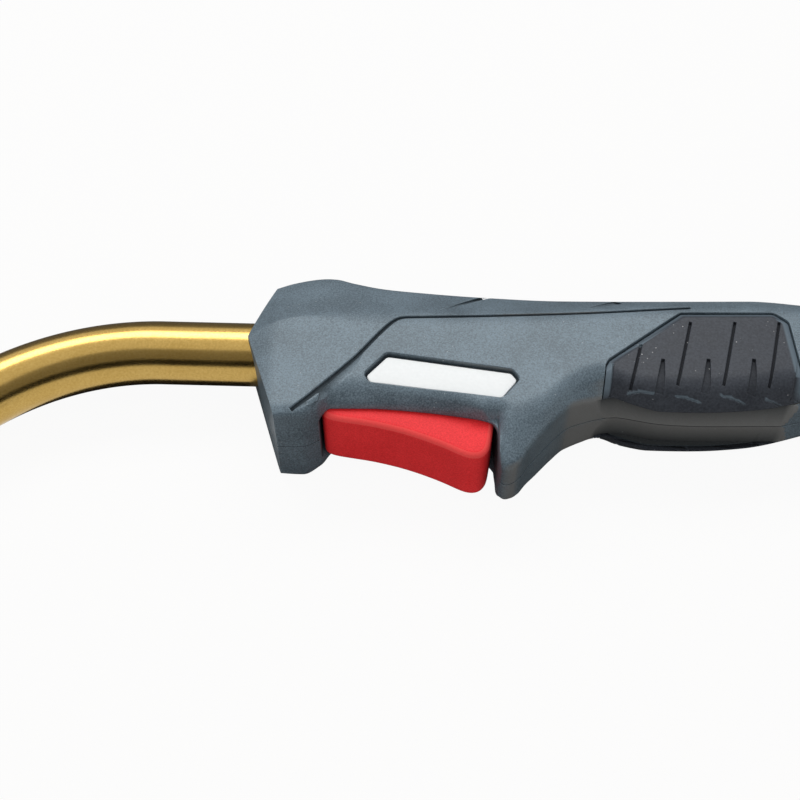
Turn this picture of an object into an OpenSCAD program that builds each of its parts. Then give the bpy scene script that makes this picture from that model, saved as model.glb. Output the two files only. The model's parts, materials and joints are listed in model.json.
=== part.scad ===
// Water-cooled mig welding torch, lying on its side.
// X runs from the gas nozzle to the cable outlet, Y from the trigger side to the back of the
// handle, and Z is up, square to the parting plane of the two handle shells.
// Shapes are drawn in torch coordinates: x = 0 at the front edge of the handle, y = 0 on the
// neck's axis there, z = 0 on the parting plane. on_bench() then sets them down on Z = 0.

/* [Handle] */
// Length of the handle shells
handle_length = 188; // [184:1:194]
// Width across the flat sides of the handle
handle_width = 35; // [34:0.5:36]
// Wall of the handle shells
shell_wall = 3; // [2.6:0.1:3.2]
// Thickness of the soft grip inserts
grip_thickness = 1.6; // [1.2:0.1:1.8]
// Depth of the recess that holds the nameplate
recess_depth = 2; // [1.6:0.1:2.2]
// Thickness of the nameplate
plate_thickness = 0.6; // [0.4:0.1:1]

/* [Trigger] */
// Width of the trigger
trigger_width = 21.4; // [20:0.2:21.8]
// Wall of the moulded trigger
trigger_wall = 2; // [1.6:0.1:2.4]
// Angle through which the trigger is pressed, in degrees
trigger_travel = 4.4; // [3:0.1:5]

/* [Trigger spring] */
// Outside diameter of the coil
spring_diameter = 7; // [6:0.1:8]
// Wire of the coil
spring_wire = 0.8; // [0.6:0.1:1]
// Number of turns
spring_turns = 6; // [4:1:7]

/* [Neck] */
// Outside diameter of the neck
neck_diameter = 21; // [20:0.2:21.4]
// Bend of the neck, in degrees
neck_angle = 50; // [40:1:55]
// Radius of the bend, on the neck's axis
neck_bend_radius = 85; // [75:1:95]
// Straight length ahead of the handle
neck_straight = 29; // [20:1:40]

/* [Gas nozzle] */
// Outside diameter of the nozzle
nozzle_diameter = 25; // [24:0.5:28]
// Length of the nozzle
nozzle_length = 76; // [72:1:80]
// Diameter of the nozzle's mouth
nozzle_mouth = 16; // [15:0.5:18]
// Diameter of the welding wire's hole in the contact tip
wire_hole = 1.2; // [0.8:0.1:1.6]

/* [Cable outlet] */
// Diameter of the swivelling ball
ball_diameter = 30; // [29:0.5:30]
// Outside diameter of the cable sleeve
sleeve_diameter = 20; // [19:0.5:21]
// Bore of the cable sleeve
sleeve_bore = 16; // [14:0.5:16]

/* [Hidden] */
$fn = 64;
side = handle_width / 2;
tail = handle_length;

// ---------------------------------------------------------------- placing on the bench

neck_tilt = 1.8;
neck_radius = neck_diameter / 2;
bend_start = [-neck_straight, 0];
bend_end = bend_start + neck_bend_radius * [-sin(neck_angle), cos(neck_angle) - 1];

// Distances along the head, counted from the end of the neck's bend
head_start = 12;
head_spigot = 16;
head_end = 40;
nozzle_start = 17;
nozzle_end = nozzle_start + nozzle_length;
tip_length = 30;
tip_setback = 3;
tip_end = nozzle_end - tip_setback;
tip_start = tip_end - tip_length;

ball_centre = [178, -6];
sleeve_reach = 30;
lip_radius = nozzle_mouth / 2 + 1.4;

function turned(p, a) = [p.x * cos(a) - p.y * sin(a), p.x * sin(a) + p.y * cos(a)];
function on_neck(p) = turned(p, -neck_tilt);
function on_head(u, side) = on_neck(bend_end + turned([-u, side], neck_angle));

nozzle_lip = [on_head(nozzle_end, lip_radius), on_head(nozzle_end, -lip_radius)];
nozzle_left = min(nozzle_lip[0].x, nozzle_lip[1].x);
nozzle_low = min(nozzle_lip[0].y, nozzle_lip[1].y);
high_x = ball_centre.x + sleeve_reach;
high_y = top_line(25.2);
bench_shift = [-(nozzle_left + high_x) / 2, -(nozzle_low + high_y) / 2, handle_width / 2];

module on_bench() {
    translate(bench_shift) children();
}

// The neck's own line: its axis is y = 0 and it points along -X
module along_neck() {
    rotate([0, 0, -neck_tilt]) children();
}

// The head's own line: children are drawn along +Z, which points out of the nozzle
module along_head(u = 0) {
    along_neck() translate([bend_end.x, bend_end.y, 0])
        rotate([0, 0, neck_angle]) rotate([0, -90, 0]) translate([0, 0, u]) children();
}

// ---------------------------------------------------------------- lines of the handle

// Height of the rounded back on the parting plane
function top_line(x) = shoulder_line(x) + 2;

// Height of the shoulder, where the back turns down to the sides
function shoulder_line(x) = lookup(x, [
    [-1, 18.2], [8.7, 21.6], [14, 23.4], [25.2, 25.4], [28, 25.2], [34, 23.3], [44, 20.7],
    [56, 19], [78, 16.7], [103, 15.1], [147, 14.7], [165, 14.8], [tail, 12]]);

// Half width of the shoulder
function shoulder_half(x) = lookup(x, [[-1, 9], [19, 10.5], [tail, 10.5]]);

// Half width of the sides
function side_half(x) = lookup(x, [
    [-1, 12.4], [0.7, 13.1], [11, side - 0.6], [19, side], [165, side], [tail, side - 0.6]]);

// Height at which the sides turn up to the shoulder
function side_top(x) = lookup(x, [[-1, -3], [19, 1.7], [56, 1.4], [101, 2.6], [147, 6], [tail, 5]]);

// Height at which the sides turn in below
function side_foot(x) = lookup(x, [
    [-1, -33], [11, -33.9], [17.6, -34], [24, -31], [28, -26], [32, -25.5], [56, -28],
    [68, -31.5], [80, -36.5], [86, -36], [93, -33], [98, -28.6], [102.5, -24.5], [108, -21.5],
    [112, -20.5], [116.3, -22.5], [122, -25.2], [130, -26.5], [147, -26.5], [tail, -20]]);

// Half width of the underside
function keel_half(x) = lookup(x, [
    [-1, 10.9], [11, 15.4], [18, 15.9], [28, 12.4], [76, 12.4], [79.2, 11.4], [80.4, 9],
    [84, 9.5], [88.9, 11], [93, 11.8], [102.5, 11.9], [108, 11], [112, 10.3], [147, 10.2],
    [tail, 8]]);

// Height of the underside: chin, trigger rim, finger guard, palm swell
function keel_line(x) = lookup(x, [
    [-1, -36.5], [17.5, -36.5], [24, -34], [28, -31.3], [40, -31.4], [56, -32.8], [68, -34.6],
    [76, -36.4], [79.2, -39.8], [79.5, -48.6], [80.4, -51.2], [81.8, -52], [84, -51.2],
    [86.2, -49.2], [88.9, -45.2], [93, -40.3], [98, -34.7], [102.5, -30.5], [108, -28.1],
    [112, -27.3], [116.3, -26.7], [119, -27.6], [122, -29], [126, -30.6], [130, -31.8],
    [143, -32.2], [160, -31.4], [tail, -25]]);

// How much lower the underside runs on the parting plane than at its edges
function keel_bow(x) = lookup(x, [[-1, 1], [18, 1], [28, 0], [tail, 0]]);

// How far each edge is rounded back: shoulder, side top, side foot, keel
function edge_cuts(x) = [
    lookup(x, [[0, 1.5], [19, 2], [tail, 2.5]]),
    lookup(x, [[0, 0.4], [19, 0.8], [40, 4], [tail, 5]]),
    lookup(x, [[0, 1.2], [18, 1.4], [30, 3.4], [80, 3.4], [116, 4], [tail, 5]]),
    lookup(x, [[0, 1.2], [18, 1.4], [30, 2.6], [80, 2.6], [90, 1.8], [tail, 1.8]]),
];

guard_stations = [79.2, 79.5, 80.4, 81.8, 84, 86.2, 88.9];
grip_stations = [108, 112, 116.3, 119, 122, 126, 130, 140, 147, 156, 165, 172, 180];
shell_stations = concat([-1, 8.7, 11, 14, 18, 22, 25.2, 28, 34, 44, 56, 68, 76], guard_stations,
    [93, 98, 102.5], grip_stations, [tail]);

// ---------------------------------------------------------------- lofting

edge_steps = 3;

function unit(v) = v / norm(v);
function quarter_turn(v) = [-v.y, v.x];

// Corners of half a cross-section, as [z, y], from the back round the side to the underside
function corners(x) = [
    [0, top_line(x)],
    [shoulder_half(x), shoulder_line(x)],
    [side_half(x), side_top(x)],
    [side_half(x), side_foot(x)],
    [keel_half(x), keel_line(x)],
    [0, keel_line(x) - keel_bow(x)],
];

function edge_normal(p, q) = quarter_turn(unit(q - p));

// One corner moved inwards by a depth, square to both of its edges
function inset_corner(c, i, depth) =
    let (last = len(c) - 1,
         before = edge_normal(c[max(i - 1, 0)], c[max(i, 1)]),
         after = edge_normal(c[min(i, last - 1)], c[min(i + 1, last)]))
    i == 0 || i == last
        ? [0, c[i].y - depth / after.y]
        : c[i] - depth * (before + after) / (1 + before * after);

// A corner rounded back by a distance along both of its edges
function rounded_corner(p, q, r, cut) =
    let (a = q + unit(p - q) * min(cut, 0.45 * norm(p - q)),
         b = q + unit(r - q) * min(cut, 0.45 * norm(r - q)))
    [for (k = [0:edge_steps]) let (t = k / edge_steps)
        (1 - t) ^ 2 * a + 2 * t * (1 - t) * q + t ^ 2 * b];

// Points of half a cross-section, sunk by a depth under the surface
function half_section(x, depth) =
    let (c = [for (i = [0:5]) inset_corner(corners(x), i, depth)], cuts = edge_cuts(x))
    [
        c[0],
        for (i = [1:4]) each rounded_corner(c[i - 1], c[i], c[i + 1], cuts[i - 1]),
        c[5],
    ];

section_points = 4 * (edge_steps + 1) + 2;

function loft_points(stations, depth) = [
    for (x = stations) for (p = half_section(x, depth)) [x, p.y, p.x]];

// Two triangles of a four-sided face, its corners given clockwise as seen from outside
function facet(a, b, c, d) = [[a, b, c], [a, c, d]];

// Half of the handle's skin as a closed layer between two depths, on the z > 0 side
module half_layer(stations, outer_depth, inner_depth) {
    m = section_points;
    n = len(stations);
    inner = n * m;
    polyhedron(
        points = concat(loft_points(stations, outer_depth), loft_points(stations, inner_depth)),
        faces = [
            for (i = [0:n - 2], j = [0:m - 2]) let (a = i * m + j) each concat(
                facet(a, a + m, a + m + 1, a + 1),
                facet(inner + a, inner + a + 1, inner + a + m + 1, inner + a + m)),
            for (i = [0:n - 2]) let (a = i * m, b = i * m + m - 1) each concat(
                facet(a, inner + a, inner + a + m, a + m),
                facet(inner + b, b, b + m, inner + b + m)),
            for (j = [0:m - 2]) let (a = j, b = (n - 1) * m + j) each concat(
                facet(inner + a, a, a + 1, inner + a + 1),
                facet(b, inner + b, inner + b + 1, b + 1)),
        ]);
}

// Half of the handle's form as a closed solid, sunk by a depth, on the z > 0 side
module half_block(stations, depth) {
    m = section_points;
    n = len(stations);
    polyhedron(
        points = loft_points(stations, depth),
        faces = [
            for (i = [0:n - 2], j = [0:m - 2]) let (a = i * m + j)
                each facet(a, a + m, a + m + 1, a + 1),
            for (i = [0:n - 2]) let (a = i * m, b = i * m + m - 1)
                each facet(a, b, b + m, a + m),
            for (j = [1:m - 2]) [0, j, j + 1],
            for (j = [1:m - 2]) let (b = (n - 1) * m) [b, b + j + 1, b + j],
        ]);
}

// ---------------------------------------------------------------- handle shells

// Cutters run this far, past everything that they open
past_all = 60;

nose_point = [0.4, -3];
nose_lean_up = 18.4;
nose_lean_down = 17.2;
nose_wall = [-0.5, 8.7, 13];
tail_wall = [166, 172, 180, tail - 0.01];
slot_front = 24.4;
slot_rear = 79.4;
slot_half = trigger_width / 2 + 0.5;
slot_top = -25;
guard_top = -38;
pivot = [29.5, -24];
pivot_boss_radius = 3.4;
pin_radius = 1.5;
pin_length = 28;
ball_gap = 0.3;
ball_radius = ball_diameter / 2;
lip_distance = 5;
lip_bore = sqrt((ball_radius + ball_gap) ^ 2 - lip_distance ^ 2);

// Screws that hold the shells together, as [x, y, height of the head's seat]
screw_seats = [[17.5, -26, -13], [40, 16.6, -8.5], [89, -34, -12], [106, -14, -14], [158, 9.6, -9]];
boss_radius = 3.6;
boss_reach = 2;
screw_radius = 1.4;
screw_tip = 6;
screw_head = [2.7, 1.8];
screw_socket = [1.3, 1];

// Line of the groove that sets off the side panel
groove_line = [[15.5, -36.6], [20.2, -32.5], [25, -27.2], [31.8, -19.9], [37.1, -13.8],
    [42.4, -6.2], [47.9, 0.4], [50.4, 1.7], [56, 1.8], [77, 2.4], [90, 2.9], [109, 3.7],
    [121.5, 4.4], [133, 5.3]];
groove_width = 1;
groove_depth = 0.8;

// A band of constant width along a line of points
function band(line, width) =
    let (n = len(line),
         sides = [for (i = [0:n - 1])
             quarter_turn(unit(line[min(i + 1, n - 1)] - line[max(i - 1, 0)])) * width / 2])
    concat([for (i = [0:n - 1]) line[i] + sides[i]],
        [for (i = [n - 1:-1:0]) line[i] - sides[i]]);

// Outline of the nameplate's recess, drawn in by a margin
function plate_outline(margin) =
    let (g = margin)
    [[38.2 + 1.2 * g, -22 - 0.2 * g], [45.2 + 0.6 * g, -13.6 - g], [84.4 - 0.4 * g, -20.5 - g],
     [86.6 - 1.2 * g, -24], [81 - 0.4 * g, -31.5 + g], [39.6 + 0.4 * g, -25.1 + g]];

// Outline of a soft grip insert, let out by a gap
function grip_outline(gap) =
    [[110.8 - gap, -40], [113.8 - gap, -18.8], [115 - gap, -16.6 + gap], [140.1, 3 + gap],
     [170, 3 + gap], [174 + gap, -1], [174 + gap, -40]];
grip_gap = 0.25;

// The strip of shell between the two grip inserts: half its width, and its line along the
// parting plane. It leans up towards its edges, so it runs above the rubber's swell.
strip_half = 10.1;
strip_lean = 0.12;
strip_line = [[109, -29.3], [113.5, -27.7], [117.5, -26.85], [120.5, -26.95], [124, -27.4],
    [128.5, -28.4], [133.5, -29], [144, -29.3], [161, -29.3], [171, -29.45], [179, -29.9]];
strip_floor_top = -22.8;
strip_floor_half = 15;

// Grooves across the grip insert: slope, depth, width and reach, then short slots between them
grip_groove_slope = 13.5;
grip_groove_depth = 0.9;
grip_groove_middle = -14;
grip_groove_box = [[-0.8, -9], [1.6, 16]];
grip_slot_box = [[-0.6, -2], [1.2, 10]];
grip_grooves = [128, 143.5, 159];
grip_slots = [135.5, 151, 166.5];

module nose_cut() {
    reach = 1.5 * past_all;
    for (lean = [-nose_lean_up, nose_lean_down])
        translate([nose_point.x, nose_point.y, 0]) rotate([0, 0, lean])
            translate([-reach, -reach, -reach]) cube([reach, 2 * reach, 2 * reach]);
}

// The part of the handle's form below a height, between two stations, on the z > 0 side
module low_block(stations, top, half) {
    first = stations[0];
    last = stations[len(stations) - 1];
    intersection() {
        half_block(stations, shell_wall / 2);
        translate([first, top - past_all, -1]) cube([last - first, past_all, half + 1]);
    }
}

// Everything below the strip's line, let out by a rise, from z = 0 to a half width
module under_strip(half, rise = 0) {
    first = strip_line[0].x;
    last = strip_line[len(strip_line) - 1].x;
    multmatrix([[1, 0, 0, 0], [0, 1, strip_lean, rise], [0, 0, 1, 0], [0, 0, 0, 1]])
        translate([0, 0, -1]) linear_extrude(half + 1) polygon(concat(
            [[last, -past_all], [first, -past_all]], strip_line));
}

// What both shells share, drawn on the z > 0 side
module half_shell() {
    difference() {
        union() {
            half_layer(shell_stations, 0, shell_wall);
            half_block(nose_wall, shell_wall / 2);
            half_block(tail_wall, shell_wall / 2);
            low_block(guard_stations, guard_top, side);
            low_block(grip_stations, strip_floor_top, strip_floor_half);
            for (s = screw_seats) translate([s.x, s.y, 0])
                cylinder(r = boss_radius, h = boss_reach - s.z);
            for (x = switch_posts) translate([x, switch_post_y, 0])
                cylinder(r = switch_post_radius, h = side - shell_wall / 2);
            translate([pivot.x, pivot.y, slot_half])
                cylinder(r = pivot_boss_radius, h = side - shell_wall / 2 - slot_half);
            translate([spring_x - spring_rib.x / 2, spring_seat_y, 0])
                cube([spring_rib.x, spring_rib.y, side - shell_wall / 2]);
        }
        nose_cut();
        along_neck() rotate([0, 90, 0]) translate([0, 0, -past_all / 2])
            cylinder(r = neck_radius, h = neck_inside + past_all / 2 + 4);
        translate([slot_front, slot_top - past_all, -1])
            cube([slot_rear - slot_front, past_all, slot_half + 1]);
        translate([ball_centre.x, ball_centre.y, 0]) {
            sphere(r = ball_radius + ball_gap, $fn = 96);
            rotate([0, 90, 0]) translate([0, 0, -past_all / 2]) cylinder(r = lip_bore, h = past_all);
        }
        translate([pivot.x, pivot.y, -1]) cylinder(r = pin_radius, h = pin_length / 2 + 1);
        translate([0, 0, side - groove_depth]) linear_extrude(2) polygon(band(groove_line, groove_width));
        under_strip(strip_half);
        half_grip_form(grip_gap, -0.5);
    }
}

// Form of a grip insert, let out by a gap and raised to a depth: a layer of the handle's side,
// and a lip that hangs down beside the strip
module half_grip_form(gap, outer_depth) {
    intersection() {
        union() {
            half_layer(grip_stations, outer_depth, grip_thickness);
            intersection() {
                half_block(grip_stations, outer_depth);
                under_strip(strip_half + grip_thickness + gap, grip_gap + gap);
            }
        }
        translate([0, 0, strip_half - gap]) linear_extrude(side) polygon(grip_outline(gap));
    }
}

module handle_shell_upper() {
    color([0.36, 0.4, 0.44]) on_bench() difference() {
        half_shell();
        for (s = screw_seats) translate([s.x, s.y, -1]) cylinder(r = screw_radius + 0.1, h = screw_tip + 3);
        translate([0, 0, side - recess_depth]) linear_extrude(recess_depth + 1) polygon(plate_outline(0));
    }
}

module handle_shell_lower() {
    color([0.34, 0.38, 0.42]) on_bench() difference() {
        mirror([0, 0, 1]) half_shell();
        for (s = screw_seats) translate([s.x, s.y, 0]) {
            translate([0, 0, -side]) cylinder(r = screw_radius + 0.3, h = side + 1);
            translate([0, 0, s.z - side]) cylinder(r = screw_head.x + 0.3, h = side);
        }
    }
}

// ---------------------------------------------------------------- grip inserts and nameplate

module half_grip() {
    difference() {
        half_grip_form(0, 0);
        for (x = grip_grooves) translate([x, grip_groove_middle, side - grip_groove_depth])
            rotate([0, 0, -grip_groove_slope]) translate(grip_groove_box[0])
                linear_extrude(2) square(grip_groove_box[1]);
        for (x = grip_slots) translate([x, grip_groove_middle, side - grip_groove_depth])
            rotate([0, 0, -grip_groove_slope]) translate(grip_slot_box[0])
                linear_extrude(2) square(grip_slot_box[1]);
    }
}

module grip_insert_upper() {
    color([0.16, 0.17, 0.18]) on_bench() half_grip();
}

module grip_insert_lower() {
    color([0.14, 0.15, 0.16]) on_bench() mirror([0, 0, 1]) half_grip();
}

module nameplate() {
    color("white") on_bench() translate([0, 0, side - recess_depth])
        linear_extrude(plate_thickness) polygon(plate_outline(0.4));
}

module handle_screws() {
    color("silver") on_bench() for (s = screw_seats) translate([s.x, s.y, s.z]) difference() {
        union() {
            cylinder(r = screw_radius, h = screw_tip - s.z);
            translate([0, 0, -screw_head.y]) cylinder(r = screw_head.x, h = screw_head.y);
        }
        translate([0, 0, -screw_head.y - 1]) cylinder(r = screw_socket.x, h = screw_socket.y + 1, $fn = 6);
    }
}

// ---------------------------------------------------------------- trigger

trigger_front = 25.3;
trigger_rear = 78.2;
trigger_top = -26;
trigger_half = trigger_width / 2;

// Underside of the trigger: front corner, finger hollow and hooked rear end
trigger_foot = [[25.3, -31.2], [26, -33], [28.5, -34.3], [34, -35.4], [40, -36.5], [45, -37.8],
    [50, -39.3], [55, -41.2], [60, -43.4], [64, -45.4], [67.5, -47.4], [70, -48.5], [72.2, -48.8],
    [74.2, -48.3], [75.8, -46.8], [76.9, -44.2], [78.2, -36.5]];

// Below this height the rear end hooks inwards, so its wall stands further in
hook_height = -43;
hook_inset = 1;
hollow_slant = 1.15;

// The same outline drawn in by the wall, for the hollow inside
function hollow_foot(g) = [for (p = trigger_foot)
    [min(max(p.x, trigger_front + g), trigger_rear - g - (p.y < hook_height ? hook_inset : 0)),
     p.y + g * hollow_slant]];

hollow_top = -30;
hub_radius = 4;
hub_reach = 4.5;
pin_clearance = 0.05;
presser = [54, -31.8];
presser_half = [2, 3];
presser_base = -39.4;

module trigger() {
    color([0.85, 0.12, 0.15]) on_bench() difference() {
        union() {
            difference() {
                translate([0, 0, -trigger_half]) linear_extrude(trigger_width) polygon(concat(
                    [[trigger_rear, trigger_top], [trigger_front, trigger_top]], trigger_foot));
                translate([0, 0, trigger_wall - trigger_half])
                    linear_extrude(trigger_width - 2 * trigger_wall) polygon(concat(
                        [[trigger_rear - trigger_wall, trigger_top + 1],
                         [pivot.x + hub_reach, trigger_top + 1], [pivot.x + hub_reach, hollow_top],
                         [trigger_front + trigger_wall, hollow_top]],
                        [for (p = hollow_foot(trigger_wall)) if (p.y < hollow_top - 1) p]));
            }
            translate([pivot.x, pivot.y, -trigger_half]) cylinder(r = hub_radius, h = trigger_width);
            translate([presser.x - presser_half.x, presser_base, -presser_half.y])
                cube([2 * presser_half.x, presser.y - presser_base, 2 * presser_half.y]);
            translate([spring_x - spring_pad_half, spring_pad_base, -spring_pad_half])
                cube([2 * spring_pad_half, spring_foot_y - spring_pad_base, 2 * spring_pad_half]);
        }
        translate([pivot.x, pivot.y, -side]) cylinder(r = pin_radius + pin_clearance, h = 2 * side);
    }
}

module trigger_pin() {
    color("silver") on_bench() translate([pivot.x, pivot.y, -pin_length / 2])
        cylinder(r = pin_radius, h = pin_length);
}

// ---------------------------------------------------------------- trigger spring

spring_x = 40;
spring_seat_y = -21;
spring_foot_y = -32.7;
spring_rib = [10, 2];
spring_pad_half = 4;
spring_pad_base = -35.3;
spring_rings = 8;
spring_sides = 6;
spring_length = spring_seat_y - spring_foot_y - spring_wire;
coil_radius = (spring_diameter - spring_wire) / 2;
spring_pitch = spring_length / spring_turns;

// Points of the wire's centre line, from the lower end to the upper one
function spring_line(i) =
    let (a = 360 * i / spring_rings)
    [coil_radius * cos(a), spring_pitch * i / spring_rings, coil_radius * sin(a)];

module trigger_spring() {
    n = spring_turns * spring_rings;
    m = spring_sides;
    wire = spring_wire / 2;
    color("silver") on_bench()
        translate([spring_x, spring_foot_y + spring_wire / 2, 0])
            polyhedron(
                points = [for (i = [0:n], k = [0:m - 1])
                    let (a = 360 * i / spring_rings, b = 360 * k / m)
                    spring_line(i) + wire * (cos(b) * [cos(a), 0, sin(a)] + sin(b) * [0, 1, 0])],
                faces = [
                    for (i = [0:n - 1], k = [0:m - 1])
                        let (a = i * m + k, b = i * m + (k + 1) % m)
                        each facet(a, b, b + m, a + m),
                    for (k = [1:m - 2]) [0, k + 1, k],
                    for (k = [1:m - 2]) [n * m, n * m + k, n * m + k + 1],
                ]);
}
echo("least gap between the spring's turns", spring_pitch - spring_wire);

// ---------------------------------------------------------------- switch

switch_size = [27.8, 15.9, 10.3];
switch_corner = [46, -29.1];
switch_posts = [48.8, 71];
switch_post_y = -16.1;
switch_post_radius = 1.5;
post_clearance = 0.05;
plunger_radius = 1.2;
plunger_clearance = 0.05;
plunger_tip = presser.y + 0.2;
plunger_length = 5;
plunger_stroke = (presser.x - pivot.x) * tan(trigger_travel);
plunger_end_gap = 0.3;
plunger_well = plunger_tip + plunger_length - switch_corner.y + plunger_stroke + plunger_end_gap;

module switch_body() {
    color([0.1, 0.1, 0.1]) on_bench() difference() {
        translate([switch_corner.x, switch_corner.y, -switch_size.z / 2]) cube(switch_size);
        for (x = switch_posts) translate([x, switch_post_y, -switch_size.z])
            cylinder(r = switch_post_radius + post_clearance, h = 2 * switch_size.z);
        translate([presser.x, switch_corner.y - 1, 0]) rotate([-90, 0, 0])
            cylinder(r = plunger_radius + plunger_clearance, h = plunger_well + 1);
    }
}

module switch_plunger() {
    color([0.75, 0.1, 0.1]) on_bench() translate([presser.x, plunger_tip, 0]) rotate([-90, 0, 0])
        cylinder(r = plunger_radius, h = plunger_length);
}

// The blades sit above the highest place that the trigger's rear end reaches when pressed
terminal_size = [8, 0.8, 6.3];
terminal_rows = [-20.5, -16.5];
terminal_hole = [5, 1.3];

module switch_terminals() {
    color("silver") on_bench() for (y = terminal_rows)
        translate([switch_corner.x + switch_size.x, y, 0]) difference() {
            translate([0, 0, -terminal_size.z / 2]) cube(terminal_size);
            translate([terminal_hole.x, -1, 0]) rotate([-90, 0, 0])
                cylinder(r = terminal_hole.y, h = terminal_size.y + 2);
        }
}

// ---------------------------------------------------------------- neck

neck_inside = 36;
jacket_wall = 0.8;
current_radius = 6;
current_bore = 4.5;
water_radius = 1.3;
water_bore = 0.9;
water_offset = 7.7;
liner_radius = 2.3;
liner_bore = 1.1;

// Past the bend a tube is swaged this much wider, and laps back over the bend
swage = 0.05;
swage_lap = 0.5;

// A round tube that follows the neck, beside its axis by an offset along Z
module neck_run(outer, bore, from_x, past_bend, offset = 0) {
    module ring(wider = 0) {
        difference() {
            circle(r = outer + wider);
            circle(r = bore + wider);
        }
    }
    along_neck() {
        translate([-neck_straight, 0, offset]) rotate([0, 90, 0])
            linear_extrude(from_x + neck_straight) ring();
        translate([bend_start.x, bend_start.y - neck_bend_radius, 0]) rotate([0, 0, 90])
            rotate_extrude(angle = neck_angle) translate([neck_bend_radius, offset]) ring();
    }
    along_head() translate([offset, 0, -swage_lap]) linear_extrude(past_bend + swage_lap) ring(swage);
}

module neck_jacket() {
    color([0.78, 0.62, 0.3]) on_bench()
        neck_run(neck_radius, neck_radius - jacket_wall, neck_inside, head_start);
}

module neck_inner_tube() {
    color([0.72, 0.45, 0.25]) on_bench()
        neck_run(current_radius, current_bore, neck_inside, head_start);
}

module water_tube_supply() {
    color([0.72, 0.45, 0.25]) on_bench()
        neck_run(water_radius, water_bore, neck_inside, head_start, water_offset);
}

module water_tube_return() {
    color([0.72, 0.45, 0.25]) on_bench()
        neck_run(water_radius, water_bore, neck_inside, head_start, -water_offset);
}

// How far the liner runs on past the neck's end, and how far it stops short of the tip
liner_tail = 36;
liner_stop = 2;

module neck_liner() {
    color("gray") on_bench()
        neck_run(liner_radius, liner_bore, neck_inside + liner_tail, tip_start - liner_stop);
}

collar_radius = 12.9;
collar_start = 14;
collar_length = 7;
lock_screw_radius = 1.5;
lock_screw_length = 3;
lock_screw_socket = [0.8, 1.4];

module neck_collar() {
    color([0.75, 0.6, 0.3]) on_bench() along_neck() translate([collar_start, 0, 0])
        rotate([0, 90, 0]) difference() {
            cylinder(r = collar_radius, h = collar_length);
            translate([0, 0, -1]) cylinder(r = neck_radius, h = collar_length + 2);
            translate([0, 0, collar_length / 2]) rotate([90, 0, 0])
                cylinder(r = lock_screw_radius, h = collar_radius + 1);
        }
}

module neck_lock_screw() {
    color([0.3, 0.3, 0.3]) on_bench() along_neck()
        translate([collar_start + collar_length / 2, -neck_radius - 0.02, 0]) rotate([90, 0, 0])
            difference() {
                cylinder(r = lock_screw_radius, h = lock_screw_length);
                translate([0, 0, lock_screw_length - lock_screw_socket.y])
                    cylinder(r = lock_screw_socket.x, h = lock_screw_socket.y + 1, $fn = 6);
            }
}

// ---------------------------------------------------------------- connection block

block_size = [28, 20, 19];
liner_gap = 0.2;
port_radius = 1.6;
port_depth = 6;
barb_places = [[5, -4.6], [-5, -4.6], [0, 5.8]];
barb_bore = 1.5;
barb_base = [3, 2];
barb_step = 4;
barb_tooth = [[2.2, 2], [2.9, 2.4], [2.2, 5.8]];
barb_end = [2, 15];

module connection_block() {
    color([0.75, 0.6, 0.3]) on_bench() along_neck() translate([neck_inside, 0, 0]) difference() {
        translate([0, -block_size.y / 2, -block_size.z / 2]) cube(block_size);
        translate([-1, 0, 0]) rotate([0, 90, 0])
            cylinder(r = liner_radius + liner_gap, h = block_size.x + 2);
        for (p = barb_places) translate([block_size.x - port_depth, p.x, p.y]) rotate([0, 90, 0])
            cylinder(r = port_radius, h = port_depth + 1);
    }
}

module hose_barbs() {
    color([0.8, 0.66, 0.36]) on_bench() along_neck() for (p = barb_places)
        translate([neck_inside + block_size.x, p.x, p.y]) rotate([0, 90, 0]) rotate_extrude()
            polygon(concat([[barb_bore, 0], [barb_base.x, 0], barb_base],
                [for (k = [0:2], q = barb_tooth) [q.x, q.y + barb_step * k]],
                [barb_end, [barb_bore, barb_end.y]]));
}

// ---------------------------------------------------------------- head

head_radius = 9.7;
insulator_radius = 11.2;
diffuser_radius = 8.2;
diffuser_end = tip_start - 4;
holder_radius = 6.2;
holder_end = tip_start + 9;

module neck_head() {
    color([0.78, 0.62, 0.3]) on_bench() along_head() rotate_extrude() polygon([
        [4, head_start], [11, head_start], [11, head_spigot], [head_radius, head_spigot],
        [head_radius, 22], [8.9, 22], [8.9, 24], [head_radius, 24],
        [head_radius, 30], [8.9, 30], [8.9, 32], [head_radius, 32],
        [head_radius, head_end - 1], [head_radius - 1, head_end], [4, head_end]]);
}

module head_o_rings() {
    color([0.08, 0.08, 0.08]) on_bench() along_head() for (u = [23, 31]) translate([0, 0, u])
        rotate_extrude() translate([9.35, 0]) circle(r = 0.42);
}

module nozzle_insulator() {
    color([0.9, 0.88, 0.82]) on_bench() along_head() rotate_extrude() polygon([
        [head_radius + 0.1, nozzle_start], [insulator_radius, nozzle_start],
        [insulator_radius, nozzle_start + 20], [head_radius + 0.1, nozzle_start + 20]]);
}

module gas_diffuser() {
    color([0.82, 0.7, 0.4]) on_bench() along_head() difference() {
        rotate_extrude() polygon([
            [liner_radius + 0.2, head_end], [diffuser_radius, head_end],
            [diffuser_radius, diffuser_end - 5], [diffuser_radius - 1.2, diffuser_end],
            [liner_radius + 0.2, diffuser_end]]);
        for (a = [0:60:300]) rotate([0, 0, a]) translate([liner_radius - 1, 0, (head_end + diffuser_end) / 2])
            rotate([0, 90, 0]) cylinder(r = 1, h = 10);
    }
}

module tip_holder() {
    color([0.75, 0.5, 0.28]) on_bench() along_head() rotate_extrude() polygon([
        [liner_radius + 0.2, diffuser_end], [holder_radius, diffuser_end],
        [holder_radius, holder_end - 1], [holder_radius - 1, holder_end],
        [4, holder_end], [4, tip_start], [liner_radius + 0.2, tip_start]]);
}

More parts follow.
